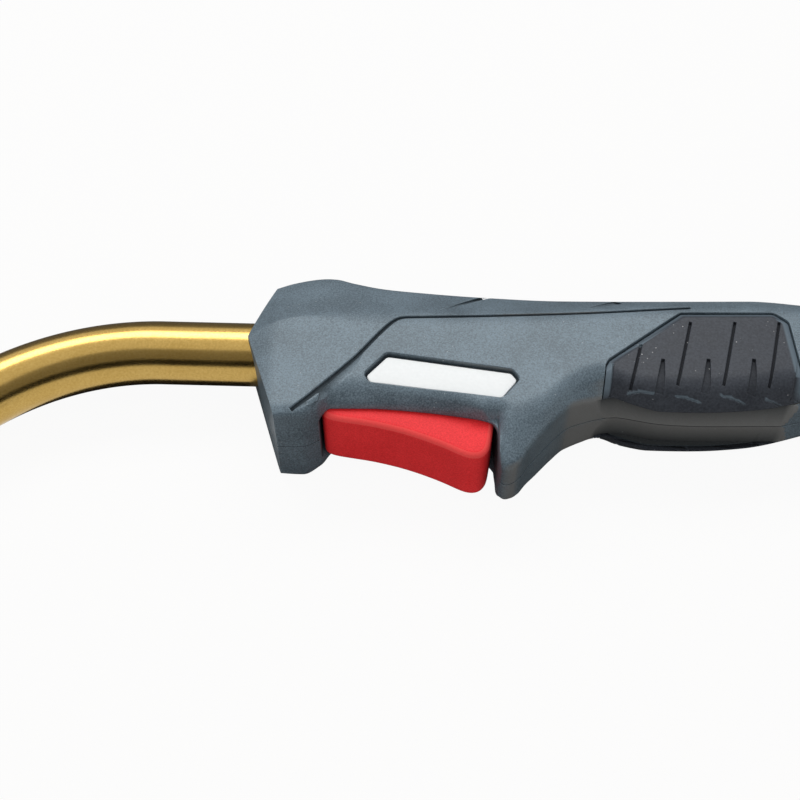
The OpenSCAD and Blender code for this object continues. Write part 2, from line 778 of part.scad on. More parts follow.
module contact_tip() {
    color([0.8, 0.5, 0.3]) on_bench() along_head() difference() {
        rotate_extrude() polygon([
            [0, tip_start], [4, tip_start], [4, holder_end], [5, holder_end],
            [5, tip_end - 8], [3, tip_end], [0, tip_end]]);
        translate([0, 0, tip_start - 1]) cylinder(r = wire_hole / 2, h = tip_length + 2);
    }
}

module gas_nozzle() {
    outer = nozzle_diameter / 2;
    color([0.8, 0.79, 0.77]) on_bench() along_head() rotate_extrude() polygon([
        [insulator_radius + 0.02, nozzle_start], [outer - 0.5, nozzle_start], [outer, nozzle_start + 0.5],
        [outer, nozzle_end - 36], [lip_radius, nozzle_end - 6], [lip_radius, nozzle_end],
        [nozzle_mouth / 2, nozzle_end], [nozzle_mouth / 2, nozzle_end - 8],
        [outer - 2, nozzle_end - 36], [outer - 2, nozzle_start + 22],
        [insulator_radius + 0.02, nozzle_start + 22]]);
}

// ---------------------------------------------------------------- cable outlet

sleeve_radius = sleeve_diameter / 2;
sleeve_inside = 13.5;
sleeve_shoulder = 11.5;

module cable_ball() {
    color([0.12, 0.12, 0.13]) on_bench() translate([ball_centre.x, ball_centre.y, 0]) difference() {
        sphere(r = ball_radius, $fn = 96);
        rotate([0, 90, 0]) translate([0, 0, -20]) cylinder(r = sleeve_radius + 0.05, h = 40);
    }
}

module cable_sleeve() {
    color([0.2, 0.2, 0.21]) on_bench() translate([ball_centre.x, ball_centre.y, 0])
        rotate([0, 90, 0]) rotate_extrude() polygon([
            [sleeve_bore / 2, -sleeve_inside], [sleeve_radius + 1, -sleeve_inside],
            [sleeve_radius + 1, -sleeve_shoulder], [sleeve_radius, -sleeve_shoulder],
            [sleeve_radius, sleeve_shoulder], [sleeve_radius + 1.2, sleeve_shoulder],
            [sleeve_radius + 1.2, sleeve_reach - 1.5],
            [sleeve_radius - 0.3, sleeve_reach], [sleeve_bore / 2, sleeve_reach]]);
}

handle_shell_upper();
handle_shell_lower();
grip_insert_upper();
grip_insert_lower();
nameplate();
handle_screws();
trigger();
trigger_pin();
trigger_spring();
switch_body();
switch_plunger();
switch_terminals();
neck_jacket();
neck_inner_tube();
water_tube_supply();
water_tube_return();
neck_liner();
neck_collar();
neck_lock_screw();
connection_block();
hose_barbs();
neck_head();
head_o_rings();
nozzle_insulator();
gas_diffuser();
tip_holder();
contact_tip();
gas_nozzle();
cable_ball();
cable_sleeve();
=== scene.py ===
# %% [markdown]
# # A mig welding torch
# The torch lies on its side: a moulded pistol handle with a red trigger, a bent brass neck with
# a gas nozzle, and a swivelling cable outlet. The construction comes in as a fixed frame. Here
# each visible piece gets its finer surface and its finish.

# %% The frame
import json
import math

import bmesh
import bpy
import numpy as np
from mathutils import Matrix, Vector


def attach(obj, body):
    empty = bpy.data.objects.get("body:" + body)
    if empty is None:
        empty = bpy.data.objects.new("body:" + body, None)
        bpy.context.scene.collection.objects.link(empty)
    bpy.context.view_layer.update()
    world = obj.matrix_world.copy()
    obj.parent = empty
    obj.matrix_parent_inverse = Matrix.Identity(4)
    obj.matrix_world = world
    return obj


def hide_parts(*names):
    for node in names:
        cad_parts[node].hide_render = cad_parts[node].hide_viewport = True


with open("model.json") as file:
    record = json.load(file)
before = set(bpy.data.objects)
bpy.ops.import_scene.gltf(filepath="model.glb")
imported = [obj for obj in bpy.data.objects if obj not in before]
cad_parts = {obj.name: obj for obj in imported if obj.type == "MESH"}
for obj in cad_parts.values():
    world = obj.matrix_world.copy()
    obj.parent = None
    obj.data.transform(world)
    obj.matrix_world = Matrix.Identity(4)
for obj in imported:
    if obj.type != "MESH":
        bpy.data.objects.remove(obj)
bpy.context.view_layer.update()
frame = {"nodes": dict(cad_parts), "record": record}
nodes = frame["nodes"]

# %% [markdown]
# The handle is drawn in the torch's own millimetres: x = 0 at its front edge, y = 0 on the
# neck's axis, z = 0 on the parting plane. One shift sets every point down on the bench.

# %% From torch millimetres to the bench
BENCH = np.array([-21.992, 37.7933, 17.5])


def to_bench(points):
    return (np.asarray(points, float) + BENCH) / 1000


# %% [markdown]
# The camera stands in front of the trigger and looks down at 52 degrees. A 53 mm lens keeps
# the handle's parallel edges nearly parallel.

# %% Camera
TARGET = Vector((0.027473, 0.018793, 0.0175))
ELEVATION = math.radians(52)
DISTANCE = 0.380


def placed(name, data):
    """A new object in the scene."""
    made = bpy.data.objects.new(name, data)
    bpy.context.scene.collection.objects.link(made)
    return made


camera = placed("camera", bpy.data.cameras.new("camera"))
camera.data.sensor_width = 36
camera.data.lens = 53.0
camera.data.clip_start = 0.01
camera.location = TARGET + DISTANCE * Vector((0, -math.cos(ELEVATION), math.sin(ELEVATION)))
camera.rotation_euler = (TARGET - camera.location).to_track_quat("-Z", "Y").to_euler()
bpy.context.scene.camera = camera
bpy.context.scene.view_settings.view_transform = "Standard"

# %% [markdown]
# A material is a small graph of nodes.

# %% Node helpers
def feed(tree, made, inputs):
    """Gives a node its inputs, each a plain value or a link from another node's socket."""
    for key, value in inputs.items():
        if isinstance(value, bpy.types.NodeSocket):
            tree.links.new(value, made.inputs[key])
        else:
            made.inputs[key].default_value = value


def add(tree, kind, inputs=None, **values):
    made = tree.nodes.new(kind)
    for key, value in values.items():
        setattr(made, key, value)
    feed(tree, made, inputs or {})
    return made


def calc(tree, operation, *terms, **values):
    return add(tree, "ShaderNodeMath", dict(enumerate(terms)), operation=operation,
               **values).outputs[0]


def ramp(tree, value, low, high, start=0, end=1):
    """Runs from start to end while the value runs from low to high."""
    return add(tree, "ShaderNodeMapRange", {"Value": value, "From Min": low, "From Max": high,
                                            "To Min": start, "To Max": end}).outputs["Result"]


def blend(tree, factor, first, second, kind="RGBA"):
    return add(tree, "ShaderNodeMix", {"Factor": factor, "A": first, "B": second},
               data_type=kind).outputs["Result"]


def new_group(name, inputs, outputs, kind="ShaderNodeTree"):
    """A node group with named sockets, and its input and output nodes."""
    group = bpy.data.node_groups.new(name, kind)
    for title, socket, value in inputs:
        made = group.interface.new_socket(name=title, in_out="INPUT",
                                          socket_type="NodeSocket" + socket)
        if value is not None:
            made.default_value = value
    for title, socket in outputs:
        group.interface.new_socket(name=title, in_out="OUTPUT",
                                   socket_type="NodeSocket" + socket)
    return group, add(group, "NodeGroupInput"), add(group, "NodeGroupOutput")


def start_material(name, color, roughness, metallic=0.0, specular=0.3):
    material = bpy.data.materials.new(name)
    material.use_nodes = True
    material.diffuse_color = (*color, 1)
    tree = material.node_tree
    shader = tree.nodes["Principled BSDF"]
    feed(tree, shader, {"Base Color": (*color, 1), "Roughness": roughness,
                        "Metallic": metallic, "Specular IOR Level": specular})
    return material, tree, shader


# %% [markdown]
# Moulded plastic, rubber and drawn metal all share one effect: a fine grain that breaks up
# colour, roughness and the surface itself. Sharp edges look softened, and can be tinted pale as a
# painted highlight. It is built once as a group, and each material places it with its own size
# and strength.

# %% The shared grain
GRAIN_DETAIL, CLOUD_DETAIL = 2, 4
GRAIN_SHARE, MOTTLE_SPREAD, GRAIN_HEIGHT = 0.65, (0.38, 0.62), 0.00012
EDGE_RADIUS, EDGE_TURN, EDGE_HIGHLIGHT = 0.00035, (0.8, 0.97), 0.6


def make_grain_group():
    group, inside, outside = new_group("Surface grain", [
        ("Color", "Color", (0.5, 0.5, 0.5, 1)), ("Dark Color", "Color", (0.4, 0.4, 0.4, 1)),
        ("Grain Size", "Float", 2200.0), ("Cloud Size", "Float", 60.0),
        ("Roughness Low", "Float", 0.45), ("Roughness High", "Float", 0.6),
        ("Bump", "Float", 0.2), ("Edge Highlight Color", "Color", (0.6, 0.6, 0.6, 1)),
        ("Edge Highlight", "Float", 0.0),
    ], [("Color", "Color"), ("Roughness", "Float"), ("Normal", "Vector")])
    given = inside.outputs
    place = add(group, "ShaderNodeTexCoord").outputs["Object"]
    grain, cloud = [
        add(group, "ShaderNodeTexNoise",
            {"Vector": place, "Scale": given[size], "Detail": detail}).outputs["Fac"]
        for size, detail in (("Grain Size", GRAIN_DETAIL), ("Cloud Size", CLOUD_DETAIL))]
    mottle = calc(group, "MULTIPLY_ADD", grain, GRAIN_SHARE,
                  calc(group, "MULTIPLY", cloud, 1 - GRAIN_SHARE))
    plain = blend(group, ramp(group, mottle, *MOTTLE_SPREAD), given["Dark Color"],
                  given["Color"])
    soft_edge = add(group, "ShaderNodeBevel", {"Radius": EDGE_RADIUS},
                    samples=4).outputs["Normal"]
    surface = add(group, "ShaderNodeNewGeometry").outputs["Normal"]
    turned = add(group, "ShaderNodeVectorMath", {0: soft_edge, 1: surface},
                 operation="DOT_PRODUCT").outputs["Value"]
    # Sharp edges take the edge colour: a pale painted highlight.
    edge_highlight = calc(group, "MULTIPLY", ramp(group, turned, *EDGE_TURN, 1, 0), given["Edge Highlight"])
    bump = add(group, "ShaderNodeBump", {"Strength": given["Bump"], "Distance": GRAIN_HEIGHT,
                                         "Height": grain, "Normal": soft_edge})
    feed(group, outside, {
        "Color": blend(group, edge_highlight, plain, given["Edge Highlight Color"]),
        "Roughness": ramp(group, cloud, 0, 1, given["Roughness Low"], given["Roughness High"]),
        "Normal": bump.outputs["Normal"]})
    return group


GRAIN = make_grain_group()

# %% [markdown]
# The hollows get painted shade: an attribute of the mesh says how deep each point lies, and
# there the colour is darkened and made matt. A used tool also carries a few pale specks of dust.
# The specks come from a cell pattern that a slow noise thins out. The line where the two shells
# meet is a dark joint, darkened in the same way.

# %% The shared hollow shade and dust
SPECK_EDGE, PATCH_SIZE, PATCH_EDGE = (0.06, 0.11), 90, (0.54, 0.6)
# The hollows are made matt and darkened; the darkening is painted shade.
HOLLOW_ROUGHNESS, HOLLOW_SHADE = 0.95, 0.16
MARK_FADE, SEAM_FADE = (0.05, 0.3), (0.0001, 0.00024)


def make_shade_and_dust_group():
    group, inside, outside = new_group("Hollow shade and dust", [
        ("Color", "Color", (0.5, 0.5, 0.5, 1)), ("Hollow", "Float", 0.0),
        ("Hollow Shade Color", "Color", (0.02, 0.02, 0.02, 1)), ("Hollow Shade Strength", "Float", 0.8),
        ("Dust Color", "Color", (0.6, 0.6, 0.6, 1)), ("Dust Amount", "Float", 0.5),
        ("Speck Size", "Float", 500.0), ("Roughness", "Float", 0.5),
    ], [("Color", "Color"), ("Roughness", "Float")])
    given = inside.outputs
    place = add(group, "ShaderNodeTexCoord").outputs["Object"]
    # Darkening in the hollows by their depth: painted shade.
    painted_shade = calc(group, "MULTIPLY", given["Hollow"], given["Hollow Shade Strength"], use_clamp=True)
    shaded_color = blend(group, painted_shade, given["Color"], given["Hollow Shade Color"])
    cells = add(group, "ShaderNodeTexVoronoi", {"Vector": place, "Scale": given["Speck Size"]})
    patches = add(group, "ShaderNodeTexNoise", {"Vector": place, "Scale": PATCH_SIZE})
    specks = calc(group, "MULTIPLY", ramp(group, cells.outputs["Distance"], *SPECK_EDGE, 1, 0),
                  ramp(group, patches.outputs["Fac"], *PATCH_EDGE))
    dust = calc(group, "MULTIPLY", specks, given["Dust Amount"])
    feed(group, outside, {
        "Color": blend(group, dust, shaded_color, given["Dust Color"]),
        "Roughness": blend(group, painted_shade, given["Roughness"], HOLLOW_ROUGHNESS, kind="FLOAT")})
    return group


SHADE_AND_DUST = make_shade_and_dust_group()


def marked(tree, color, attribute, tint, strength):
    """Tints a colour where an attribute of the mesh marks the place."""
    place = add(tree, "ShaderNodeAttribute", attribute_name=attribute).outputs["Fac"]
    return blend(tree, ramp(tree, place, *MARK_FADE, 0, strength), color, (*tint, 1))


def seam_mask(tree, hollow):
    """The dark line where the two shells meet, joined with the other hollows."""
    place = add(tree, "ShaderNodeTexCoord").outputs["Object"]
    height = add(tree, "ShaderNodeSeparateXYZ", {0: place}).outputs["Z"]
    away = calc(tree, "ABSOLUTE", calc(tree, "SUBTRACT", height, BENCH[2] / 1000))
    return calc(tree, "MAXIMUM", ramp(tree, away, *SEAM_FADE, 1, 0), hollow)


def grained(name, color, dark, rough, grain=2200, cloud=60, bump=0.2, dust=0.0, mark=None,
            seam=False, edge=None, tint=None, **kind):
    """A finish with the shared grain. A mark tints marked places, and dust adds the dust specks
    and the painted shade in the hollows.
    """
    material, tree, shader = start_material(name, color, rough[0], **kind)
    if tint:
        feed(tree, shader, {"Specular Tint": (*tint, 1)})
    group = add(tree, "ShaderNodeGroup", {
        "Color": (*color, 1), "Dark Color": (*dark, 1), "Grain Size": grain,
        "Cloud Size": cloud, "Roughness Low": rough[0], "Roughness High": rough[1],
        "Bump": bump}, node_tree=GRAIN)
    # The edge colour is a pale painted highlight along sharp edges.
    if edge:
        feed(tree, group, {"Edge Highlight Color": (*edge, 1), "Edge Highlight": EDGE_HIGHLIGHT})
    shown, dull = group.outputs["Color"], group.outputs["Roughness"]
    if mark:
        shown = marked(tree, shown, *mark)
    # Dust adds pale specks, and darkens the hollows with painted shade.
    if dust:
        hollow = add(tree, "ShaderNodeAttribute", attribute_name="hollow").outputs["Fac"]
        shaded_and_dusty = add(tree, "ShaderNodeGroup", {
            "Color": shown, "Hollow": seam_mask(tree, hollow) if seam else hollow,
            "Hollow Shade Color": (*[HOLLOW_SHADE * c for c in dark], 1), "Dust Amount": dust,
            "Roughness": dull}, node_tree=SHADE_AND_DUST)
        shown, dull = shaded_and_dusty.outputs["Color"], shaded_and_dusty.outputs["Roughness"]
    feed(tree, shader, {"Base Color": shown, "Roughness": dull,
                        "Normal": group.outputs["Normal"]})
    return material


# %% [markdown]
# The finishes. The handle is a fine-grained slate plastic; its underside is browner from painted
# warm light from below. The trigger has the same grain in red, paler on its rounded edges, partly
# rubbed and partly a painted highlight. The neck is drawn brass, satin from handling. The nozzle
# is plated copper.

# %% Materials
METAL = {"metallic": 1.0, "specular": 0.5}
MATERIALS = {
    "shell_plastic": grained("slate plastic", (0.13, 0.176, 0.212), (0.05, 0.07, 0.087),
                             (0.4, 0.5), grain=2100, bump=0.34, dust=0.45, specular=0.62,
                             # The browner tint on the underside is painted warm light from below,
                             # and the edge colour a painted highlight.
                             mark=("strip", (0.16, 0.155, 0.147), 0.85), seam=True,
                             edge=(0.3, 0.37, 0.42), tint=(0.84, 0.95, 1.0)),
    "trigger_red": grained("red plastic", (0.92, 0.036, 0.042), (0.74, 0.02, 0.024),
                           (0.42, 0.54), grain=2100, bump=0.3, specular=0.19,
                           # The pale tint on the rounded edges is partly rubbing and partly a
                           # painted highlight.
                           mark=("edge", (0.95, 0.12, 0.11), 0.5)),
    "grip_rubber": grained("charcoal rubber", (0.045, 0.051, 0.063), (0.026, 0.03, 0.038),
                           (0.44, 0.56), grain=1500, cloud=110, bump=0.22, dust=0.9,
                           # The rim tint is a painted highlight on the rim's bevel and on the
                           # ledges.
                           specular=0.24, mark=("rim", (0.12, 0.158, 0.19), 0.9)),
    "plate_white": grained("white plate", (0.88, 0.9, 0.9), (0.85, 0.87, 0.87),
                           (0.5, 0.6), grain=900, bump=0.02, specular=0.15),
    "brass": grained("drawn brass", (0.55, 0.37, 0.115), (0.48, 0.31, 0.085), (0.17, 0.26),
                     grain=1500, cloud=60, bump=0.04, **METAL),
    "copper": grained("bare copper", (0.85, 0.47, 0.3), (0.7, 0.34, 0.2), (0.22, 0.4),
                      grain=900, cloud=90, bump=0.06, **METAL),
    "nozzle_chrome": grained("satin plate", (0.72, 0.7, 0.67), (0.62, 0.59, 0.55), (0.2, 0.38),
                             grain=1100, cloud=80, bump=0.05, **METAL),
    "steel": grained("zinc-plated steel", (0.6, 0.6, 0.61), (0.46, 0.46, 0.47), (0.24, 0.4),
                     grain=1400, cloud=200, bump=0.08, **METAL),
    "liner_steel": grained("wound wire", (0.42, 0.42, 0.43), (0.3, 0.3, 0.31), (0.3, 0.5),
                           grain=1400, bump=0.3, **METAL),
    "switch_black": grained("black plastic", (0.028, 0.028, 0.03), (0.02, 0.02, 0.021),
                            (0.35, 0.5), grain=2000, bump=0.15),
    "sleeve_plastic": grained("black sleeve plastic", (0.05, 0.05, 0.054), (0.034, 0.034, 0.037),
                              (0.42, 0.58), grain=1800, bump=0.2),
    "plunger_red": grained("red switch plastic", (0.5, 0.04, 0.03), (0.42, 0.03, 0.022),
                           (0.25, 0.35), grain=1500, bump=0.05),
    "insulator": grained("pale insulator", (0.78, 0.75, 0.67), (0.7, 0.66, 0.57), (0.3, 0.45),
                         grain=1300, bump=0.08),
}
SLOT_OF = {s["node"]: s["material_slot"] for s in frame["record"]["subparts"]}
for name, piece in nodes.items():
    piece.data.materials.clear()
    piece.data.materials.append(MATERIALS[SLOT_OF[name]])

# %% [markdown]
# ## The handle's lines
# A moulded handle is drawn as a few lines along its length: where the back, the shoulder, the
# sides and the underside run. Each cross-section joins those lines and rounds its corners.

# %% Lines of the handle
TAIL, SIDE = 188.0, 17.5
LINES = {
    "shoulder": [(-1, 18.2), (8.7, 21.6), (14, 23.4), (25.2, 25.4), (28, 25.2), (34, 23.3),
                 (44, 20.7), (56, 19), (78, 16.7), (103, 15.1), (147, 14.7), (165, 14.8),
                 (TAIL, 12)],
    "shoulder_half": [(-1, 9), (19, 10.5), (TAIL, 10.5)],
    "side_half": [(-1, 12.4), (0.7, 13.1), (11, SIDE - 0.6), (19, SIDE), (165, SIDE),
                  (TAIL, SIDE - 0.6)],
    "side_top": [(-1, -3), (19, 1.7), (56, 1.4), (101, 2.6), (147, 6), (TAIL, 5)],
    "side_foot": [(-1, -33), (11, -33.9), (18.4, -34.3), (24, -32), (28, -26), (32, -25.5),
                  (56, -28), (68, -31.5), (80, -36.5), (86, -36), (93, -33), (98, -28.6),
                  (102.5, -24.5), (108, -21.5), (112, -20.5), (116.3, -22.5), (122, -25.2),
                  (130, -26.5), (147, -26.5), (TAIL, -20)],
    "keel_half": [(-1, 10.9), (11, 15.7), (18, 16.3), (28, 12.4), (76, 12.4), (79.2, 11.4),
                  (80.4, 9), (84, 9.5), (88.9, 11), (93, 11.8), (102.5, 11.9), (108, 11),
                  (112, 10.3), (147, 10.2), (TAIL, 8)],
    "keel": [(-1, -37), (18.4, -37.3), (24, -35), (28, -31.3), (40, -31.4), (56, -32.8),
             (68, -34.6), (76, -36.4), (79.2, -39.8), (79.5, -48.6), (80.4, -51.2), (81.8, -52),
             (84, -51.2), (86.2, -49.2), (88.9, -45.2), (93, -40.3), (98, -34.7),
             (102.5, -30.5), (108, -28.3), (112, -27.1), (116.3, -26.4), (119, -27.6),
             (122, -29), (126, -30.6), (130, -31.8), (143, -32.2), (160, -31.4), (TAIL, -25)],
    "keel_bow": [(-1, 0.4), (18, 0.4), (28, 0), (TAIL, 0)],
    "cut_shoulder": [(0, 1.5), (19, 2), (TAIL, 2.5)],
    "cut_side_top": [(0, 0.4), (19, 0.8), (40, 4), (TAIL, 5)],
    "cut_side_foot": [(0, 1.2), (18, 1.4), (30, 4.2), (60, 4.6), (80, 5), (116, 4), (TAIL, 5)],
    "cut_keel": [(0, 1.2), (18, 1.4), (30, 2.6), (80, 2.6), (90, 1.8), (TAIL, 1.8)],
}


def flowing(table, x):
    """A curve through the points that never overshoots them."""
    px, py = np.array(table, float).T
    step = np.diff(px)
    slope = np.diff(py) / step
    lean = np.zeros(len(px))
    lean[0], lean[-1] = slope[0], slope[-1]
    for i in range(1, len(px) - 1):
        if slope[i - 1] * slope[i] > 0:
            a, b = 2 * step[i] + step[i - 1], step[i] + 2 * step[i - 1]
            lean[i] = (a + b) / (a / slope[i - 1] + b / slope[i])
    x = np.clip(x, px[0], px[-1])
    k = np.clip(np.searchsorted(px, x) - 1, 0, len(step) - 1)
    t = (x - px[k]) / step[k]
    return ((1 + 2 * t) * (1 - t) ** 2 * py[k] + t * (1 - t) ** 2 * step[k] * lean[k]
            + t * t * (3 - 2 * t) * py[k + 1] + t * t * (t - 1) * step[k] * lean[k + 1])


def line(name, x):
    return float(flowing(LINES[name], x))


# %% [markdown]
# One half of a section, as points from the back round the side to the underside. Every corner
# is a short curve, and the flats between them get evenly spread points.

# %% Half a cross-section
FLAT_POINTS = [4, 10, 18, 6, 6]
CURVE_POINTS = 10
BACK_RISE, CUT_SHARE = 2, 0.45
SEAM, SEAM_BEVEL, SEAM_DEPTH = 0.03, 0.24, 1.3


def section_corners(x):
    shoulder, keel = line("shoulder", x), line("keel", x)
    side, top, foot = line("side_half", x), line("side_top", x), line("side_foot", x)
    return np.array([(0, shoulder + BACK_RISE), (line("shoulder_half", x), shoulder), (side, top),
                     (side, foot), (line("keel_half", x), keel),
                     (0, keel - line("keel_bow", x))], float)


def half_section(x):
    c = section_corners(x)
    cuts = [line(n, x) for n in ("cut_shoulder", "cut_side_top", "cut_side_foot", "cut_keel")]
    points, last = [], c[0]
    for i in range(1, 5):
        before, after = c[i - 1] - c[i], c[i + 1] - c[i]
        reach_a = min(cuts[i - 1], CUT_SHARE * np.linalg.norm(before))
        reach_b = min(cuts[i - 1], CUT_SHARE * np.linalg.norm(after))
        a = c[i] + before / np.linalg.norm(before) * reach_a
        b = c[i] + after / np.linalg.norm(after) * reach_b
        points += [last + (a - last) * k / FLAT_POINTS[i - 1] for k in range(FLAT_POINTS[i - 1])]
        points += [(1 - t) ** 2 * a + 2 * t * (1 - t) * c[i] + t * t * b
                   for t in np.arange(CURVE_POINTS) / CURVE_POINTS]
        last = b
    points += [last + (c[5] - last) * k / FLAT_POINTS[4] for k in range(FLAT_POINTS[4])]
    near_seam = [end + (next_one - end) * SEAM_BEVEL / abs(next_one[0] - end[0])
                 for end, next_one in ((points[0], points[1]), (c[5], points[-1]))]
    return np.array([points[0], near_seam[0], *points[1:], near_seam[1], c[5]])


# %% [markdown]
# The height of the side over the parting plane is read often, so it is kept as a table with
# one row for each half millimetre of the handle's length.

# %% Height of the side
SKIN_STEP = (0.5, 0.25)
SKIN_X = np.arange(-1, TAIL + SKIN_STEP[0], SKIN_STEP[0])
SKIN_Y = np.arange(-56, 30, SKIN_STEP[1])


def skin_table():
    sections = [half_section(x) for x in SKIN_X]
    return np.array([np.interp(-SKIN_Y, -s[:, 1], s[:, 0], left=0, right=0) for s in sections])


SKIN = skin_table()


def skin(x, y):
    """Height of the handle's side at a place, or 0 beside the handle."""
    i = np.clip((x - SKIN_X[0]) / SKIN_STEP[0], 0, len(SKIN_X) - 1.001)
    j = np.clip((y - SKIN_Y[0]) / SKIN_STEP[1], 0, len(SKIN_Y) - 1.001)
    i0, j0 = i.astype(int), j.astype(int)
    u, v = i - i0, j - j0
    return ((1 - u) * (1 - v) * SKIN[i0, j0] + u * (1 - v) * SKIN[i0 + 1, j0]
            + (1 - u) * v * SKIN[i0, j0 + 1] + u * v * SKIN[i0 + 1, j0 + 1])


def soft_step(value, low, high):
    t = np.clip((value - low) / (high - low), 0, 1)
    return t * t * (3 - 2 * t)


# %% [markdown]
# A grid of points becomes a mesh of quads. Points that fall together are merged, open ends are
# filled, and all faces are turned outwards.

# %% From grid to mesh
MERGE_DISTANCE = 4e-6


def mesh_from_grid(name, grid):
    grid = np.array(grid)
    rows, cols = grid.shape[:2]
    points = to_bench(grid.reshape(-1, 3))
    quads = [(i * cols + j, i * cols + j + 1, (i + 1) * cols + j + 1, (i + 1) * cols + j)
             for i in range(rows - 1) for j in range(cols - 1)]
    mesh = bpy.data.meshes.new(name)
    mesh.from_pydata(points.tolist(), [], quads)
    return mesh


def close_and_orient(mesh):
    work = bmesh.new()
    work.from_mesh(mesh)
    bmesh.ops.remove_doubles(work, verts=work.verts, dist=MERGE_DISTANCE)
    open_edges = [e for e in work.edges if e.is_boundary]
    if open_edges:
        filled = bmesh.ops.holes_fill(work, edges=open_edges, sides=0)
        bmesh.ops.triangulate(work, faces=filled["faces"])
    bmesh.ops.recalc_face_normals(work, faces=work.faces)
    if work.calc_volume(signed=True) < 0:
        bmesh.ops.reverse_faces(work, faces=work.faces)
    work.to_mesh(mesh)
    work.free()
    return mesh


def solid(name, grid):
    """An object from a grid of points, closed at its ends."""
    return placed(name, close_and_orient(mesh_from_grid(name, grid)))


def applied(piece):
    """Turns a piece with its modifiers into a plain mesh."""
    bpy.context.view_layer.update()
    view = bpy.context.evaluated_depsgraph_get()
    piece.data = bpy.data.meshes.new_from_object(piece.evaluated_get(view))
    piece.modifiers.clear()
    return piece


def carved(body, *cuts):
    """Adds or takes away other solids, each given with its operation."""
    for cutter, operation in cuts:
        tool = body.modifiers.new(cutter.name, "BOOLEAN")
        tool.solver, tool.operation, tool.object = "MANIFOLD", operation, cutter
    applied(body)
    for cutter, _ in cuts:
        bpy.data.objects.remove(cutter)
    return body


def without(body, *cutters):
    return carved(body, *[(cutter, "DIFFERENCE") for cutter in cutters])


# %% [markdown]
# A finished piece is shaded smooth up to a set angle. Each point of a shell keeps how far it
# lies below the handle's side, so that the finish can darken the hollows with painted shade, and
# how much painted warm light from below browns it along the underside.

# %% Finishing a piece
GUARD_ZONE = (72, 96, -27)
FULL_SHADE_DEPTH, OUTER_HEIGHT = 1.1, 9
STRIP_NEAR, STRIP_OVER = 0.1, 0.2
# The last value is how strong the painted warm light from below is on faces that look down.
DOWN_TURN, UNDER_START, UNDER_END, UNDERLIGHT_SHARE = (0.55, 0.9), (76, 86), (112, 120), 0.3


def mark_points(mesh, name, values):
    mesh.attributes.new(name, "FLOAT", "POINT").data.foreach_set(
        "value", np.asarray(values, np.float32))


def read_points(mesh, what="co"):
    points = np.zeros(len(mesh.vertices) * 3)
    mesh.vertices.foreach_get(what, points)
    return points.reshape(-1, 3)


def mark_shade_and_underlight(mesh):
    x, y, z = (read_points(mesh) * 1000 - BENCH).T
    # How deep a point lies sets the painted shade in the hollows.
    depth = (skin(x, y) - np.abs(z)) / FULL_SHADE_DEPTH
    guard = (x > GUARD_ZONE[0]) & (x < GUARD_ZONE[1]) & (y < GUARD_ZONE[2])
    outer = (np.abs(z) > OUTER_HEIGHT) & ~guard
    mark_points(mesh, "hollow", np.where(outer, np.clip(depth, 0, 1), 0))
    # The channel's floor and the faces that look down behind the guard get a browner tint:
    # painted warm light from below.
    floor = np.interp(x, *np.array(smoothed(STRIP_LINE)).T) + STRIP_LEAN * np.abs(z)
    strip = ((np.abs(y - floor) < STRIP_NEAR) & (np.abs(z) < STRIP_HALF + STRIP_OVER)
             & (x > STRIP_LINE[0][0]))
    facing_down = soft_step(-read_points(mesh, "normal")[:, 1], *DOWN_TURN)
    below = (UNDERLIGHT_SHARE * facing_down * soft_step(x, *UNDER_START)
             * (1 - soft_step(x, *UNDER_END)))
    mark_points(mesh, "strip", np.maximum(strip, below))


def finish_piece(piece, slot, body, *stands_for, sharp=32, marks=None):
    mesh = piece.data
    mesh.shade_smooth()
    mesh.set_sharp_from_angle(angle=math.radians(sharp))
    mesh.materials.clear()
    mesh.materials.append(MATERIALS[slot])
    if marks:
        marks(mesh)
    print(piece.name, "faces", len(mesh.polygons))
    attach(piece, body)
    if stands_for:
        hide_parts(*stands_for)
    return piece


# %% [markdown]
# The bare handle half is one loft: sections side by side, closer together where the form turns
# quickly. The guard behind the trigger gets a round front edge, and the parting edge a small
# bevel.

# %% The bare half of the handle
STRETCHES = [(-1, 20, 0.4), (20, 76, 0.6), (76, 79, 0.3), (79, 81.8, 0.1), (81.8, 92, 0.25),
             (92, 130, 0.5), (130, 186.6, 0.8), (186.8, TAIL, 0.2)]
GUARD_START, GUARD_FRONT, GUARD_ROUND, GUARD_TAPER = 74, 79.4, 4.8, 0.3
FOOT_FADE, FOOT_SHARE = (38, 47), 0.85
RIM_HALF, TAIL_ROUND, END_Y = 12.0, 1.2, -5.0


def stations(start, end):
    xs = [x for a, b, step in STRETCHES for x in np.linspace(a, b, int((b - a) / step) + 2)]
    return [x for x in sorted(set(np.round(xs, 3))) if start <= x <= end]


def outward(grid):
    along, across = np.gradient(grid, axis=0), np.gradient(grid, axis=1)
    n = np.cross(across, along)
    n /= np.maximum(np.linalg.norm(n, axis=2, keepdims=True), 1e-9)
    middle = grid.mean(axis=1, keepdims=True) * [1, 1, 0]
    facing = np.sign(((grid - middle) * n).sum(axis=2, keepdims=True))
    return n * np.where(facing == 0, 1, facing)


def guard_rounded(grid):
    """The side's height with the guard's front edge rounded, and the rim that runs into it."""
    x, y, z = grid[..., 0], grid[..., 1], grid[..., 2]
    rim = flowing(LINES["side_foot"], x)
    beyond = np.hypot(np.maximum(x - GUARD_FRONT, 0), np.maximum(y - rim, 0))
    inward = np.clip(1 - beyond / GUARD_ROUND, 0, 1)
    share = (GUARD_TAPER * soft_step(x, GUARD_START, GUARD_FRONT)
             * (1 - FOOT_SHARE * soft_step(-y, *FOOT_FADE)))
    taken = z * (1 - share * (1 - np.sqrt(1 - inward ** 2)))
    return np.where(x < GUARD_FRONT, np.maximum(taken, np.minimum(z, RIM_HALF)), taken)


